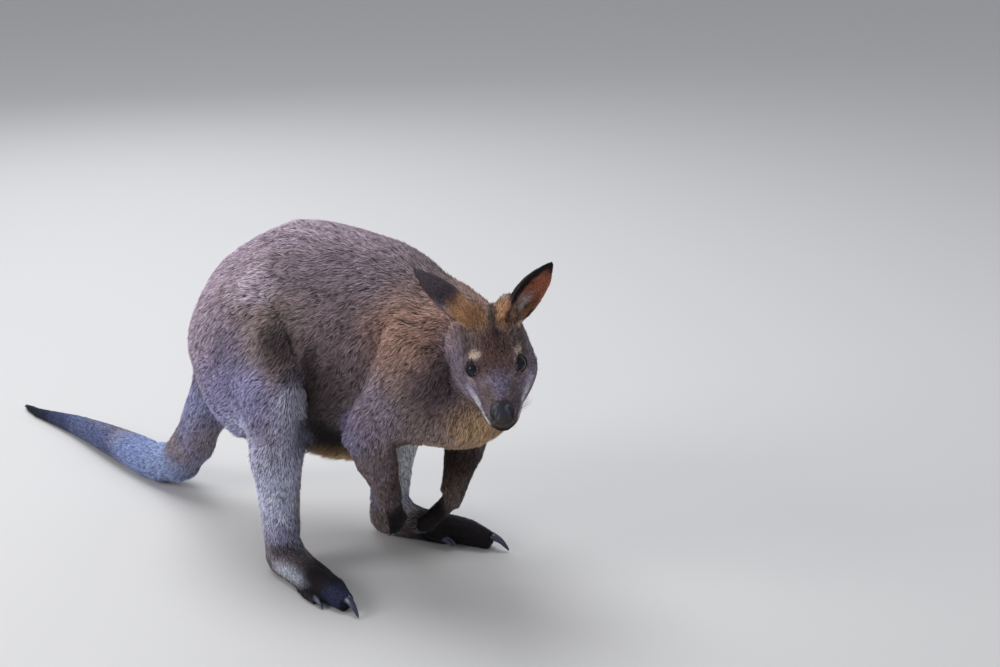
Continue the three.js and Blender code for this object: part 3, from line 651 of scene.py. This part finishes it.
def refineFace(piece):
    for centre, radius, edge in fineSpots:
        bm = bmesh.new()
        bm.from_mesh(piece.data)
        points = toHead(np.array([v.co for v in bm.verts]))
        near = np.linalg.norm(points - np.array(centre), axis=1) < radius
        bm.verts.index_update()
        chosen = [e for e in bm.edges if near[e.verts[0].index] and near[e.verts[1].index]
                  and e.calc_length() > edge * mm]
        bmesh.ops.subdivide_edges(bm, edges=chosen, cuts=1, use_grid_fill=True)
        bmesh.ops.triangulate(bm, faces=[f for f in bm.faces if len(f.verts) > 3])
        bm.to_mesh(piece.data)
        bm.free()


# Each eye: where the lids' opening faces and which way it runs, in the head frame.
eyeLook = {"out": (0.2, 0.76, 0.62), "along": (1, 0.1, -0.25), "long": 68, "upper": 53, "lower": 44,
           "lid": 1.0}


def eyeAxes(side):
    out = unit(np.array(eyeLook["out"], float) * (1, side, 1))
    along = np.array(eyeLook["along"], float) * (1, side, 1)
    along = unit(along - out * (along @ out))
    up = np.cross(out, along) * side
    return out, along, -up if up[2] < 0 else up


# How far a direction from the eye's centre is from the middle of the opening: 1 on the
# lids' edge.
def lidShare(directions, side):
    out, along, up = eyeAxes(side)
    front = directions @ out
    a = np.degrees(np.arctan2(directions @ along, front)) / eyeLook["long"]
    v = np.degrees(np.arctan2(directions @ up, front))
    v = v / np.where(v > 0, eyeLook["upper"], eyeLook["lower"])
    return np.where(front > -0.2, (np.abs(a) ** 2.0 + np.abs(v) ** 1.7) ** 0.5, 9), v


def sculptEyes(at):
    radius = landmarks["eyeRadius"]
    for side in (1, -1):
        centre = np.array(landmarks["eyeOnHead"]) * (1, side, 1)
        offset = at - centre
        r = np.linalg.norm(offset, axis=1)
        share, height = lidShare(unit(offset), side)
        near = (r < 20) & (share < 3)
        inner = radius * 0.8
        rim = radius + eyeLook["lid"] * (0.55 + 0.45 * smoothstep(0.9, 1.3, share))
        fold = 0.8 * np.exp(-((share - 1.55) / 0.13) ** 2) * (height > 0)
        wrapped = np.maximum(np.where(share < 1.8, rim, r), r) - fold
        target = np.where(share < 1.0, inner, wrapped)
        edge = smoothstep(0.93, 1.03, share)
        target = inner + (wrapped - inner) * edge
        goal = centre + unit(offset) * target[:, None]
        blend = (near * (1 - smoothstep(1.8, 2.6, share)))[:, None]
        at = at + (goal - at) * blend
    return at


# Nose and mouth: a bare leathery pad over the nostrils, two comma-shaped nostrils, the split
# of the upper lip, and the line of the mouth running back under the cheek.
noseShape = {"pad": ((59, 0, -8), (16, 16.5, 11.5)), "nostril": [(55, 10, -5), (60, 13, -9), (66, 12, -13)],
             "split": [(74, 0, -12), (79, 0, -22)],
             "mouth": [(79, 0, -25), (74, 7, -28), (60, 13.5, -31), (42, 19, -35), (24, 25, -41)]}


def sculptNose(at, normals):
    centre, radii = noseShape["pad"]
    pad = 1 - smoothstep(0.75, 1.0, np.linalg.norm((at - np.array(centre)) / radii, axis=1))
    lift = 0.6 * pad
    for side in (1, -1):
        flipped = at * (1, side, 1)
        lift = lift - 4.2 * (1 - smoothstep(0.2, 1, farFromLine(flipped, noseShape["nostril"]) / 3.2))
        ring = farFromLine(flipped, noseShape["nostril"])
        lift = lift + 1.5 * np.exp(-((ring - 4.4) / 1.6) ** 2)
    lift = lift - 1.1 * (1 - smoothstep(0.2, 1, farFromLine(at, noseShape["split"]) / 1.8))
    folded = at * np.where(at[:, 1:2] < 0, (1, -1, 1), (1, 1, 1))
    mouth = farFromLine(folded, noseShape["mouth"])
    lift = lift - 1.6 * (1 - smoothstep(0.1, 1, mouth / 2.0)) + 0.5 * np.exp(-((mouth - 3.2) / 1.2) ** 2)
    return at + normals * lift[:, None]


# The nose pad: black with a painted blue highlight on the upper rims of the nostrils' wings, browner low in
# the middle.
def noseColour(points):
    at = np.abs(toHead(points) * (0, 1, 0)) + toHead(points) * (1, 0, 1)
    ring = farFromLine(at, noseShape["nostril"])
    # painted highlight: blue-grey on the upper rims of the nostrils' wings
    paintedGlint = np.exp(-((ring - 3.8) / 1.8) ** 2) * smoothstep(-9, -3, at[:, 2])
    colour = np.tile(linear("#29252d"), (len(at), 1))
    colour = mixed(colour, linear("#392a24"), smoothstep(62, 68, at[:, 0]) * (1 - smoothstep(5, 9, at[:, 1])))
    colour = mixed(colour, linear("#5a6b8c"), 0.6 * paintedGlint)
    return mixed(colour, linear("#060506"), 1 - smoothstep(0.5, 1, ring / 3.4))


# Where no hair grows: nose pad, nostrils, mouth line, the lids' edges and the eyes.
def bareness(points):
    at = toHead(points)
    centre, radii = noseShape["pad"]
    bare = 1 - smoothstep(0.85, 1.05, np.linalg.norm((at - np.array(centre)) / radii, axis=1))
    folded = at * np.where(at[:, 1:2] < 0, (1, -1, 1), (1, 1, 1))
    bare = np.maximum(bare, 1 - smoothstep(0.5, 1, farFromLine(folded, noseShape["mouth"]) / 2.2))
    rim = np.zeros(len(at))
    for side in (1, -1):
        offset = at - np.array(landmarks["eyeOnHead"]) * (1, side, 1)
        share, _ = lidShare(unit(offset), side)
        near = np.linalg.norm(offset, axis=1) < 18
        rim = np.maximum(rim, near * (1 - smoothstep(1.04, 1.2, share)))
    return np.maximum(bare, rim), bare, rim


def makeSkin():
    points, triangles, fleshParts = joinedFlesh()
    tree = BVHTree.FromPolygons(points.tolist(), triangles.tolist())
    piece = remeshed(points, triangles)
    points, triangles = arraysOf(piece.data)
    around = Neighbours(triangles, len(points))
    parts = partsAt(points, tree, fleshParts)
    soft = around.smooth(np.isin(parts, ("torso",)).astype(float), 40)
    soft = smoothstep(0.25, 1, soft)
    tailRoot = np.linalg.norm(toBody(points) - np.array((-162, 0, 258)), axis=1)
    soft = np.maximum(soft, 1 - smoothstep(45, 80, tailRoot))
    smoothed(piece, soft, skinShape["torsoRounds"])
    points, triangles = arraysOf(piece.data)
    around = Neighbours(triangles, len(points))
    points = around.smooth(points, skinShape["fineRounds"])
    way, length = coatField(points, parts)
    depth = around.smooth(length * skinShape["depthShare"] - skinShape["swell"] * soft, 20)
    normals = unit(around.smooth(normalsOf(points, triangles), 4))
    points = sculptFolds(points - normals * depth[:, None], normals)
    points = around.smooth(points, 3)
    setPoints(piece.data, points)
    thinned(piece, skinShape["triangles"])
    refineFace(piece)
    points, triangles = arraysOf(piece.data)
    around = Neighbours(triangles, len(points))
    at = toHead(points)
    face = np.linalg.norm(at - np.array((20, 0, -10)), axis=1) < 80
    normals = unit(around.smooth(normalsOf(points, triangles), 3)) @ headAxes
    jowl = smoothstep(26, 46, np.abs(at[:, 1])) * smoothstep(0, 32, -at[:, 0])
    jowl = jowl * (1 - smoothstep(40, 80, -at[:, 0]))
    at = at - (4.5 * jowl * np.sign(at[:, 1]))[:, None] * (0, 1, 0)
    shaped = sculptEyes(sculptNose(at, normals))
    at = np.where(face[:, None], shaped, at)
    points = sculptEars(fromHead(at), partsAt(points, tree, fleshParts))
    points[:, 2] = np.maximum(points[:, 2], 0.0003)
    setPoints(piece.data, points)
    print("skin:", len(piece.data.polygons), "faces")
    return piece, tree, fleshParts


# The OFBake map: the skin unwrapped by its own shape.
def unwrapSkin(piece):
    bpy.context.view_layer.objects.active = piece
    piece.select_set(True)
    piece.data.uv_layers.new(name="OFBake")
    bpy.ops.object.mode_set(mode="EDIT")
    bpy.ops.mesh.select_all(action="SELECT")
    bpy.ops.uv.smart_project(angle_limit=math.radians(66), island_margin=0.001)
    bpy.ops.object.mode_set(mode="OBJECT")
    piece.select_set(False)
    flat = np.empty(len(piece.data.loops) * 2, np.float32)
    piece.data.uv_layers["OFBake"].data.foreach_get("uv", flat)
    corners = np.empty(len(piece.data.loops), np.int32)
    piece.data.loops.foreach_get("vertex_index", corners)
    return flat.reshape(-1, 3, 2), corners.reshape(-1, 3)


# Where the coat hangs loose: the belly and chest, the cheeks, and the tip of the tail.
def looseness(points, parts):
    body, head = toBody(points), toHead(points)
    loose = (parts == "torso") * smoothstep(-225, -175, -body[:, 2]) * 0.9
    cheek = (parts == "head") * smoothstep(34, 44, np.abs(head[:, 1])) * 0.3
    tip = (parts == "tail") * smoothstep(700, 780, -body[:, 0]) * 0.6
    return loose + cheek + tip


# Everything that the coat needs to know at each vertex of the skin.
def skinCoat(piece, tree, fleshParts):
    cornerPlaces, triangles = unwrapSkin(piece)
    points, _ = arraysOf(piece.data)
    around = Neighbours(triangles, len(points))
    parts = partsAt(points, tree, fleshParts)
    normals = unit(around.smooth(normalsOf(points, triangles), 2))
    way, length = coatField(points, parts)
    way = around.smooth(way, 12)
    way = unit(way - normals * np.sum(way * normals, axis=1, keepdims=True))
    length = around.smooth(length, 8)
    length = length * (1 + 0.45 * (parts == "torso") * smoothstep(-215, -180, -toBody(points)[:, 2]))
    colour = coatColour(points)
    onEar = parts == "ear"
    colour[onEar] = earColour(points[onEar], normals[onEar])
    colour = around.smooth(colour, 1)
    bare, nose, rim = bareness(points)
    colour = mixed(colour, noseColour(points), nose)
    colour = mixed(colour, linear("#120d0d"), rim)
    return {"points": points, "triangles": triangles, "parts": parts, "normals": normals,
            "way": way, "length": length, "colour": colour, "grow": 1 - bare, "wet": bare,
            "loose": looseness(points, parts),
            "cornerPlaces": cornerPlaces}


# Tufts: how many, how wide, and how far they stand out, for each part.
tufts = {
    "torso": {"pieces": 5, "count": 250000, "width": 1.1, "lift": 25, "colour": 0.56, "lock": 0.0034},
    "head": {"pieces": 1, "count": 64000, "width": 0.8, "lift": 28, "colour": 0.5, "lock": 0.003},
    "leg": {"pieces": 1, "count": 60000, "width": 0.95, "lift": 23, "colour": 0.5, "lock": 0.0034},
    "arm": {"pieces": 1, "count": 34000, "width": 0.85, "lift": 22, "colour": 0.46, "lock": 0.0038},
    "tail": {"pieces": 1, "count": 54000, "width": 0.95, "lift": 19, "colour": 0.42, "lock": 0.004},
    "ear": {"pieces": 1, "count": 28000, "width": 0.6, "lift": 16, "colour": 0.32, "lock": 0.003},
}
patch = 0.003   # side of a tuft's patch on the OFBake map


# Even random roots on one part of the skin, as triangles and weights in them.
def rootsOn(skin, part, count, rng):
    triangles = skin["triangles"]
    a, b, c = (skin["points"][triangles[:, i]] for i in range(3))
    area = np.linalg.norm(np.cross(b - a, c - a), axis=1)
    here = (skin["parts"][triangles[:, 0]] == part)
    reach = skin["length"][triangles[:, 0]]
    density = area * here * skin["grow"][triangles].mean(axis=1) / np.maximum(reach, 0.002) ** 0.7
    total = np.cumsum(density)
    spots = (np.arange(count) + rng.random(count)) / count * total[-1]
    chosen = np.minimum(np.searchsorted(total, spots), len(triangles) - 1)
    u, v = rng.random(count), rng.random(count)
    flip = u + v > 1
    u, v = np.where(flip, 1 - u, u), np.where(flip, 1 - v, v)
    return chosen, np.stack([1 - u - v, u, v], axis=1)


# A value of the skin's vertices at the roots.
def spread(skin, key, chosen, weights):
    corners = skin[key][skin["triangles"][chosen]]
    return np.einsum("nc,nc...->n...", weights, corners)


# Blades of one part: points, triangles, colours, normals and OFBake places.
def growTufts(skin, part, look, seed):
    rng = np.random.default_rng(seed)
    chosen, weights = rootsOn(skin, part, look["count"], rng)
    root = spread(skin, "points", chosen, weights)
    normal = unit(spread(skin, "normals", chosen, weights))
    way = unit(spread(skin, "way", chosen, weights))
    length = spread(skin, "length", chosen, weights)
    paint = spread(skin, "colour", chosen, weights)
    place = np.einsum("nc,ncd->nd", weights, skin["cornerPlaces"][chosen])
    count, lock = len(root), look["lock"]

    # Locks: the blades of one cell lean the same way, and their tips draw together.
    jitter = np.stack([noise(root, lock, s) for s in (31, 32, 33)], axis=1)
    cell = np.floor((root + 0.4 * lock * jitter) / lock).astype(np.int64)
    turn = (hashed(cell, 41) - 0.5) * 0.6 + noise(root, 0.03, 42) * 0.3
    turn = turn + (rng.random(count) - 0.5) * 0.5
    side = np.cross(normal, way)
    way = unit(way * np.cos(turn)[:, None] + side * np.sin(turn)[:, None])
    side = np.cross(normal, way)
    grown = length * (0.75 + 0.35 * hashed(cell, 43) + 0.25 * rng.random(count))
    lift = np.radians(look["lift"]) * (0.8 + 0.35 * hashed(cell, 44) + 0.4 * rng.random(count))
    lift = lift * (1 + skin["loose"][skin["triangles"][chosen, 0]])
    width = look["width"] * mm * (0.7 + 0.6 * rng.random(count))
    rise, lie = np.sin(lift)[:, None], np.cos(lift)[:, None]
    middle = root + grown[:, None] * 0.5 * (way * lie + normal * rise)
    tip = root + grown[:, None] * (way * (0.5 * lie + 0.5) + normal * rise * 0.62)
    pull = (cell + 0.5) * lock - root
    pull = pull - normal * np.sum(pull * normal, axis=1, keepdims=True)
    tip = tip + pull * 0.3
    half = side * (width / 2)[:, None]
    sunk = normal * 0.0006
    points = np.stack([root - half - sunk, root + half - sunk,
                       middle + half * 0.8, middle - half * 0.8, tip], axis=1)
    points[:, :, 2] = np.maximum(points[:, :, 2], 0.0001)   # pressed flat on the floor
    first = np.arange(count)[:, None, None] * 5
    triangles = np.array([[0, 2, 1], [0, 3, 2], [3, 4, 2]])[None] + first

    # Dark roots, pale tips, and each blade and lock a little lighter or darker than the next.
    shade = 1 + look["colour"] * rng.standard_normal(count) + 0.5 * look["colour"] * (
        noise(root, 0.006, 51) + 1.6 * (hashed(cell, 52) - 0.5))
    shade = np.clip(shade, 0.25, 2.4)[:, None, None]
    ramp = np.array([0.36, 0.36, 0.92, 0.92, 1.85])[None, :, None]
    colours = np.clip(paint[:, None] * ramp * shade, 0, 1)

    tilt = unit(np.cross(half, tip - root))
    tilt = tilt * np.sign(np.sum(tilt * normal, axis=1, keepdims=True))
    bent = unit(normal * 0.55 + tilt * 0.45)
    across = unit(half)
    normals = np.stack([unit(bent - 0.35 * across), unit(bent + 0.35 * across),
                        unit(bent + 0.35 * across), unit(bent - 0.35 * across), bent], axis=1)
    spot = np.array([[-0.5, -0.5], [0.5, -0.5], [0.5, 0], [-0.5, 0], [0, 0.5]]) * patch
    return points, triangles, colours, normals, place[:, None] + spot[None]


def makeTufts(skin):
    pieces = []
    for n, (part, look) in enumerate(tufts.items()):
        points, triangles, colours, normals, uv = growTufts(skin, part, look, 100 + n)
        edges = np.linspace(0, len(points), look["pieces"] + 1).astype(int)
        for k, (low, high) in enumerate(zip(edges[:-1], edges[1:])):
            name = f"coat_{part}" + (f"_{k + 1}" if look["pieces"] > 1 else "")
            faces = triangles[low:high].reshape(-1, 3) - low * 5
            mesh = meshOf(name, points[low:high].reshape(-1, 3), faces)
            setAttribute(mesh, "coat", "FLOAT_COLOR", colours[low:high].reshape(-1, 3))
            smoothShade(mesh)
            mesh.normals_split_custom_set_from_vertices(
                normals[low:high].reshape(-1, 3).astype(np.float32))
            layer = mesh.uv_layers.new(name="OFBake")
            flat = uv[low:high].reshape(-1, 2)[faces.ravel()]
            layer.data.foreach_set("uv", flat.astype(np.float32).ravel())
            pieces.append((addPiece(name, mesh), part))
        print(f"coat of the {part}: {len(points)} tufts")
    return pieces


# Eyes: a ball with a bulging cornea over a dark brown iris and a wide pupil.
eyeBall = {"rings": 48, "segments": 64, "cornea": 34, "bulge": 0.9, "pupil": 20, "iris": 31}


def makeEye(name, side):
    rings, segments = eyeBall["rings"], eyeBall["segments"]
    out, along, up = eyeAxes(side)
    polar = np.pi * np.arange(1, rings) / rings
    turn = 2 * np.pi * np.arange(segments) / segments
    lean = np.degrees(polar)
    bulge = eyeBall["bulge"] * (1 - smoothstep(0, 1, lean / eyeBall["cornea"]))
    radius = (landmarks["eyeRadius"] + bulge)[:, None, None]
    third = np.cross(out, along)
    ball = (np.cos(polar)[:, None, None] * out
            + np.sin(polar)[:, None, None] * (np.cos(turn)[None, :, None] * along
                                              + np.sin(turn)[None, :, None] * third)) * radius
    points = np.concatenate([ball.reshape(-1, 3),
                             [out * (landmarks["eyeRadius"] + eyeBall["bulge"])],
                             [-out * landmarks["eyeRadius"]]])
    lean = np.concatenate([np.repeat(lean, segments), [0, 180]])
    grid = np.arange((rings - 1) * segments).reshape(rings - 1, segments)
    a, b = grid[:-1], np.roll(grid, -1, axis=1)[:-1]
    c, d = grid[1:], np.roll(grid, -1, axis=1)[1:]
    front, back = len(points) - 2, len(points) - 1
    first, last = grid[0], grid[-1]
    triangles = np.concatenate([
        np.stack([a, c, b], axis=-1).reshape(-1, 3), np.stack([b, c, d], axis=-1).reshape(-1, 3),
        np.stack([np.full(segments, front), first, np.roll(first, -1)], axis=-1),
        np.stack([np.full(segments, back), np.roll(last, -1), last], axis=-1)])
    centre = np.array(landmarks["eyeOnHead"]) * (1, side, 1)
    points = fromHead(points + centre)
    iris = np.tile(linear("#2c180d"), (len(points), 1))
    iris = mixed(iris, linear("#030202"), 1 - smoothstep(-2, 2, lean - eyeBall["pupil"]))
    iris = mixed(iris, linear("#140d0b"), smoothstep(-3, 3, lean - eyeBall["iris"]))
    mesh = meshOf(name, points, triangles)
    middle = points.mean(axis=0)
    normals = normalsOf(points, triangles)
    if np.sum(normals * (points - middle)) < 0:
        mesh.flip_normals()
    setAttribute(mesh, "coat", "FLOAT_COLOR", iris)
    smoothShade(mesh)
    return addPiece(name, mesh)


# Claws: the cut horn solids, rounded.
def makeClaws():
    points, triangles, start = [], [], 0
    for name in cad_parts:
        if name.startswith("claw"):
            bm = bmesh.new()
            bm.from_mesh(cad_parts[name].data)
            bmesh.ops.remove_doubles(bm, verts=bm.verts, dist=1e-6)
            bmesh.ops.triangulate(bm, faces=bm.faces)
            bm.verts.index_update()
            own = np.array([v.co for v in bm.verts])
            faces = np.array([[v.index for v in f.verts] for f in bm.faces])
            bm.free()
            points.append(own + normalsOf(own, faces) * (0.0005 if "hand" in name else 0.0012))
            triangles.append(faces + start)
            start += len(own)
    piece = addPiece("claws", meshOf("claws", np.concatenate(points), np.concatenate(triangles)))
    round_ = piece.modifiers.new("round", "SUBSURF")
    round_.levels = round_.render_levels = 2
    applyModifiers(piece)
    smoothShade(piece.data)
    return piece


# Whiskers and lashes: thin tapering bristles. Each group: root line in the head frame, how
# many, which way they point, length and thickness.
bristles = [
    ([(60, 12, -16), (44, 18, -22)], 9, (-0.25, 0.95, -0.3), 26, 0.35),
    ([(56, 14, -22), (42, 19, -28)], 8, (-0.35, 0.9, -0.5), 22, 0.35),
    ([(70, 5, -26), (60, 10, -32)], 6, (0.2, 0.5, -0.9), 12, 0.3),
    ([(-7.5, 30, 4.5), (1, 28.5, 8)], 12, (-0.35, 0.75, 0.8), 8.5, 0.5),
    ([(1, 28.5, 8), (8, 27, 5)], 8, (0.25, 0.75, 0.85), 6.5, 0.45),
    ([(-16, 27, 9), (-10, 26, 10)], 4, (-0.5, 0.5, 0.9), 18, 0.3),
    ([(12, 38, -22), (8, 40, -24)], 3, (-0.3, 0.95, -0.2), 20, 0.3),
]


def makeBristles(skinTree):
    rng = np.random.default_rng(7)
    points, triangles = [], []
    for line, count, way, length, thick in bristles:
        for side in (1, -1):
            for n in range(count):
                share = (n + rng.random()) / count
                at = np.array(line[0]) * (1 - share) + np.array(line[1]) * share
                at = (at + rng.normal(0, 1.1, 3)) * (1, side, 1)
                root, _, _, _ = skinTree.find_nearest(onHead(*at))
                heading = unit((np.array(way) + rng.normal(0, 0.14, 3)) * (1, side, 1))
                heading = headAxes @ heading
                droop = headAxes @ np.array((-0.5, 0, -0.25)) * length * mm * 0.5
                reach = length * mm * (0.6 + 0.5 * rng.random())
                a = unit(np.cross(heading, (0.3, 0.2, 1)))
                b = np.cross(heading, a)
                start = len(points)
                for step, size in ((-0.03, 1), (0.35, 0.8), (0.7, 0.5), (1, 0.05)):
                    middle = np.array(root) + heading * reach * step + droop * step * abs(step)
                    for corner in range(3):
                        angle = 2 * np.pi * corner / 3
                        points.append(middle + (a * np.cos(angle) + b * np.sin(angle))
                                      * thick * mm * 0.5 * size)
                for ring in range(3):
                    for corner in range(3):
                        p, q = start + ring * 3 + corner, start + ring * 3 + (corner + 1) % 3
                        triangles += [(p, q, q + 3), (p, q + 3, p + 3)]
                triangles += [(start + 2, start + 1, start), (start + 9, start + 10, start + 11)]
    piece = addPiece("whiskers", meshOf("whiskers", np.array(points), np.array(triangles)))
    smoothShade(piece.data)
    return piece


def newMaterial(name):
    material = bpy.data.materials.new(name)
    material.use_nodes = True
    tree = material.node_tree
    tree.nodes.clear()
    out = tree.nodes.new("ShaderNodeOutputMaterial")
    shader = tree.nodes.new("ShaderNodeBsdfPrincipled")
    tree.links.new(shader.outputs["BSDF"], out.inputs["Surface"])
    return material, tree, shader


# A node with its settings, and its inputs set to values or linked to sockets.
def addNode(tree, kind, settings=None, **inputs):
    node = tree.nodes.new(kind)
    for key, value in (settings or {}).items():
        setattr(node, key, value)
    for key, value in inputs.items():
        socket = node.inputs[key.replace("_", " ")]
        if isinstance(value, bpy.types.NodeSocket):
            tree.links.new(value, socket)
        else:
            socket.default_value = value
    return node


# Dry hair: matt, with a faint sheen where the light grazes it.
def furMaterial():
    material, tree, shader = newMaterial("fur")
    paint = addNode(tree, "ShaderNodeAttribute", {"attribute_name": "coat"})
    tree.links.new(paint.outputs["Color"], shader.inputs["Base Color"])
    shader.inputs["Roughness"].default_value = 0.7
    shader.inputs["Specular IOR Level"].default_value = 0.2
    shader.inputs["Sheen Weight"].default_value = 0.07
    shader.inputs["Sheen Roughness"].default_value = 0.45
    shader.inputs["Sheen Tint"].default_value = (0.85, 0.86, 1, 1)
    return material


# Skin under short hair: the coat's colour, darker between the hairs, with a fine fibrous
# bump. Where it is bare, on the nose and lids, it turns pebbled and moist.
def skinMaterial():
    material, tree, shader = newMaterial("hairy skin")
    paint = addNode(tree, "ShaderNodeAttribute", {"attribute_name": "coat"})
    wet = addNode(tree, "ShaderNodeAttribute", {"attribute_name": "wet"})
    place = addNode(tree, "ShaderNodeTexCoord")
    grain = addNode(tree, "ShaderNodeTexNoise", Vector=place.outputs["Object"], Scale=900.0,
                    Detail=3.0)
    pebble = addNode(tree, "ShaderNodeTexVoronoi", Vector=place.outputs["Object"], Scale=1100.0)
    dark = addNode(tree, "ShaderNodeMix", {"data_type": "RGBA", "blend_type": "MULTIPLY"})
    dark.inputs[0].default_value = 0.6
    tree.links.new(paint.outputs["Color"], dark.inputs[6])
    tree.links.new(grain.outputs["Color"], dark.inputs[7])
    relief = addNode(tree, "ShaderNodeMix", {"data_type": "FLOAT"})
    tree.links.new(wet.outputs["Fac"], relief.inputs[0])
    tree.links.new(grain.outputs["Fac"], relief.inputs[2])
    tree.links.new(pebble.outputs["Distance"], relief.inputs[3])
    bump = addNode(tree, "ShaderNodeBump", Height=relief.outputs[0], Strength=0.5,
                   Distance=0.0005)
    rough = addNode(tree, "ShaderNodeMapRange", Value=wet.outputs["Fac"], To_Min=0.8, To_Max=0.34)
    tree.links.new(dark.outputs[2], shader.inputs["Base Color"])
    tree.links.new(bump.outputs["Normal"], shader.inputs["Normal"])
    tree.links.new(rough.outputs["Result"], shader.inputs["Roughness"])
    shader.inputs["Specular IOR Level"].default_value = 0.5
    return material


# Horn: blue-black, streaked along and polished by use.
def hornMaterial():
    material, tree, shader = newMaterial("horn")
    place = addNode(tree, "ShaderNodeTexCoord")
    streaks = addNode(tree, "ShaderNodeTexNoise", Vector=place.outputs["Object"], Scale=260.0,
                      Detail=4.0)
    ramp = addNode(tree, "ShaderNodeValToRGB", Fac=streaks.outputs["Fac"])
    ramp.color_ramp.elements[0].color = (*linear("#15141b"), 1)
    ramp.color_ramp.elements[1].color = (*linear("#454b63"), 1)
    bump = addNode(tree, "ShaderNodeBump", Height=streaks.outputs["Fac"], Strength=0.25,
                   Distance=0.0004)
    tree.links.new(ramp.outputs["Color"], shader.inputs["Base Color"])
    tree.links.new(bump.outputs["Normal"], shader.inputs["Normal"])
    shader.inputs["Roughness"].default_value = 0.3
    return material


# A wet dark eye: fibres in the iris under a clear cornea.
def eyeMaterial():
    material, tree, shader = newMaterial("eye")
    paint = addNode(tree, "ShaderNodeAttribute", {"attribute_name": "coat"})
    place = addNode(tree, "ShaderNodeTexCoord")
    fibres = addNode(tree, "ShaderNodeTexNoise", Vector=place.outputs["Object"], Scale=900.0,
                     Detail=4.0)
    blend = addNode(tree, "ShaderNodeMix", {"data_type": "RGBA", "blend_type": "MULTIPLY"})
    blend.inputs[0].default_value = 0.7
    tree.links.new(paint.outputs["Color"], blend.inputs[6])
    tree.links.new(fibres.outputs["Color"], blend.inputs[7])
    tree.links.new(blend.outputs[2], shader.inputs["Base Color"])
    shader.inputs["Roughness"].default_value = 0.04
    shader.inputs["Specular IOR Level"].default_value = 0.6
    shader.inputs["Specular Tint"].default_value = (0.5, 0.72, 1, 1)
    shader.inputs["IOR"].default_value = 1.4
    return material


# A bristle: nearly black, with a dull shine.
def bristleMaterial():
    material, tree, shader = newMaterial("bristle")
    place = addNode(tree, "ShaderNodeTexCoord")
    grain = addNode(tree, "ShaderNodeTexNoise", Vector=place.outputs["Object"], Scale=400.0)
    ramp = addNode(tree, "ShaderNodeValToRGB", Fac=grain.outputs["Fac"])
    ramp.color_ramp.elements[0].color = (*linear("#0c090a"), 1)
    ramp.color_ramp.elements[1].color = (*linear("#2a2426"), 1)
    tree.links.new(ramp.outputs["Color"], shader.inputs["Base Color"])
    shader.inputs["Roughness"].default_value = 0.4
    return material


# Studio paper, plain and pale.
def makeStage():
    material, tree, shader = newMaterial("studio floor")
    shader.inputs["Base Color"].default_value = (*linear("#c9c7c4"), 1)
    shader.inputs["Roughness"].default_value = 0.9
    size = 12.0
    points = np.array([[-size, -size, 0], [size, -size, 0], [size, size, 0], [-size, size, 0]])
    floor = addPiece("floor", meshOf("floor", points, np.array([[0, 1, 2], [0, 2, 3]])))
    floor.data.materials.append(material)


def addLight(name, place, target, size, power, tint):
    data = bpy.data.lights.new(name, "AREA")
    data.shape = "DISK"
    data.size = size
    data.energy = power
    data.color = tint
    light = bpy.data.objects.new(name, data)
    light.location = place
    light.rotation_euler = (Vector(target) - Vector(place)).to_track_quat("-Z", "Y").to_euler()
    bpy.context.scene.collection.objects.link(light)


def makeLight():
    world = bpy.data.worlds.new("studio")
    world.use_nodes = True
    world.node_tree.nodes["Background"].inputs["Color"].default_value = (0.88, 0.92, 1, 1)
    world.node_tree.nodes["Background"].inputs["Strength"].default_value = 0.5
    bpy.context.scene.world = world
    bpy.context.scene.view_settings.view_transform = "Standard"
    addLight("sky", (-0.6, 0.1, 3.2), (0, 0, 0.2), 2.2, 70, (0.94, 0.96, 1))
    addLight("key", (-1.2, -2.7, 1.9), (0, 0, 0.25), 1.5, 46, (0.98, 0.97, 1))
    addLight("rim", (-2.2, 1.6, 1.8), (0, 0, 0.3), 1.4, 20, (0.88, 0.92, 1))


def makeCamera():
    pitch, yaw = 17.487, 36.79
    data = bpy.data.cameras.new("camera")
    data.lens = 64.8
    data.sensor_width = 36
    camera = bpy.data.objects.new("camera", data)
    camera.location = onBody(1620, -1737, 1058)
    camera.rotation_euler = (math.radians(90 - pitch), 0, math.radians(yaw))
    bpy.context.scene.collection.objects.link(camera)
    bpy.context.scene.camera = camera


slotOfPart = {"torso": "back_fur", "head": "head_fur", "leg": "shank_fur", "arm": "paw_fur",
              "tail": "tail_fur", "ear": "ear_fur"}


def dress(piece, material, slot, *replaced):
    piece.data.materials.append(material)
    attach(piece, "root")
    if replaced:
        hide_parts(*replaced)


makeCamera()
makeLight()
makeStage()
skinPiece, fleshTree, fleshParts = makeSkin()
skin = skinCoat(skinPiece, fleshTree, fleshParts)
setAttribute(skinPiece.data, "coat", "FLOAT_COLOR", skin["colour"])
setAttribute(skinPiece.data, "wet", "FLOAT", skin["wet"])
smoothShade(skinPiece.data)
dress(skinPiece, skinMaterial(), "back_fur", *fleshNodes)
fur = furMaterial()
for piece, part in makeTufts(skin):
    dress(piece, fur, slotOfPart[part])
eye = eyeMaterial()
for name, side in sides.items():
    dress(makeEye(f"eyeball_{name}", side), eye, "eye", f"eye_{name}")
claws = [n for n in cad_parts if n.startswith("claw")]
dress(makeClaws(), hornMaterial(), "horn", *claws)
skinTree = BVHTree.FromPolygons(skin["points"].tolist(), skin["triangles"].tolist())
dress(makeBristles(skinTree), bristleMaterial(), "head_fur")
print("eyes, claws and whiskers")
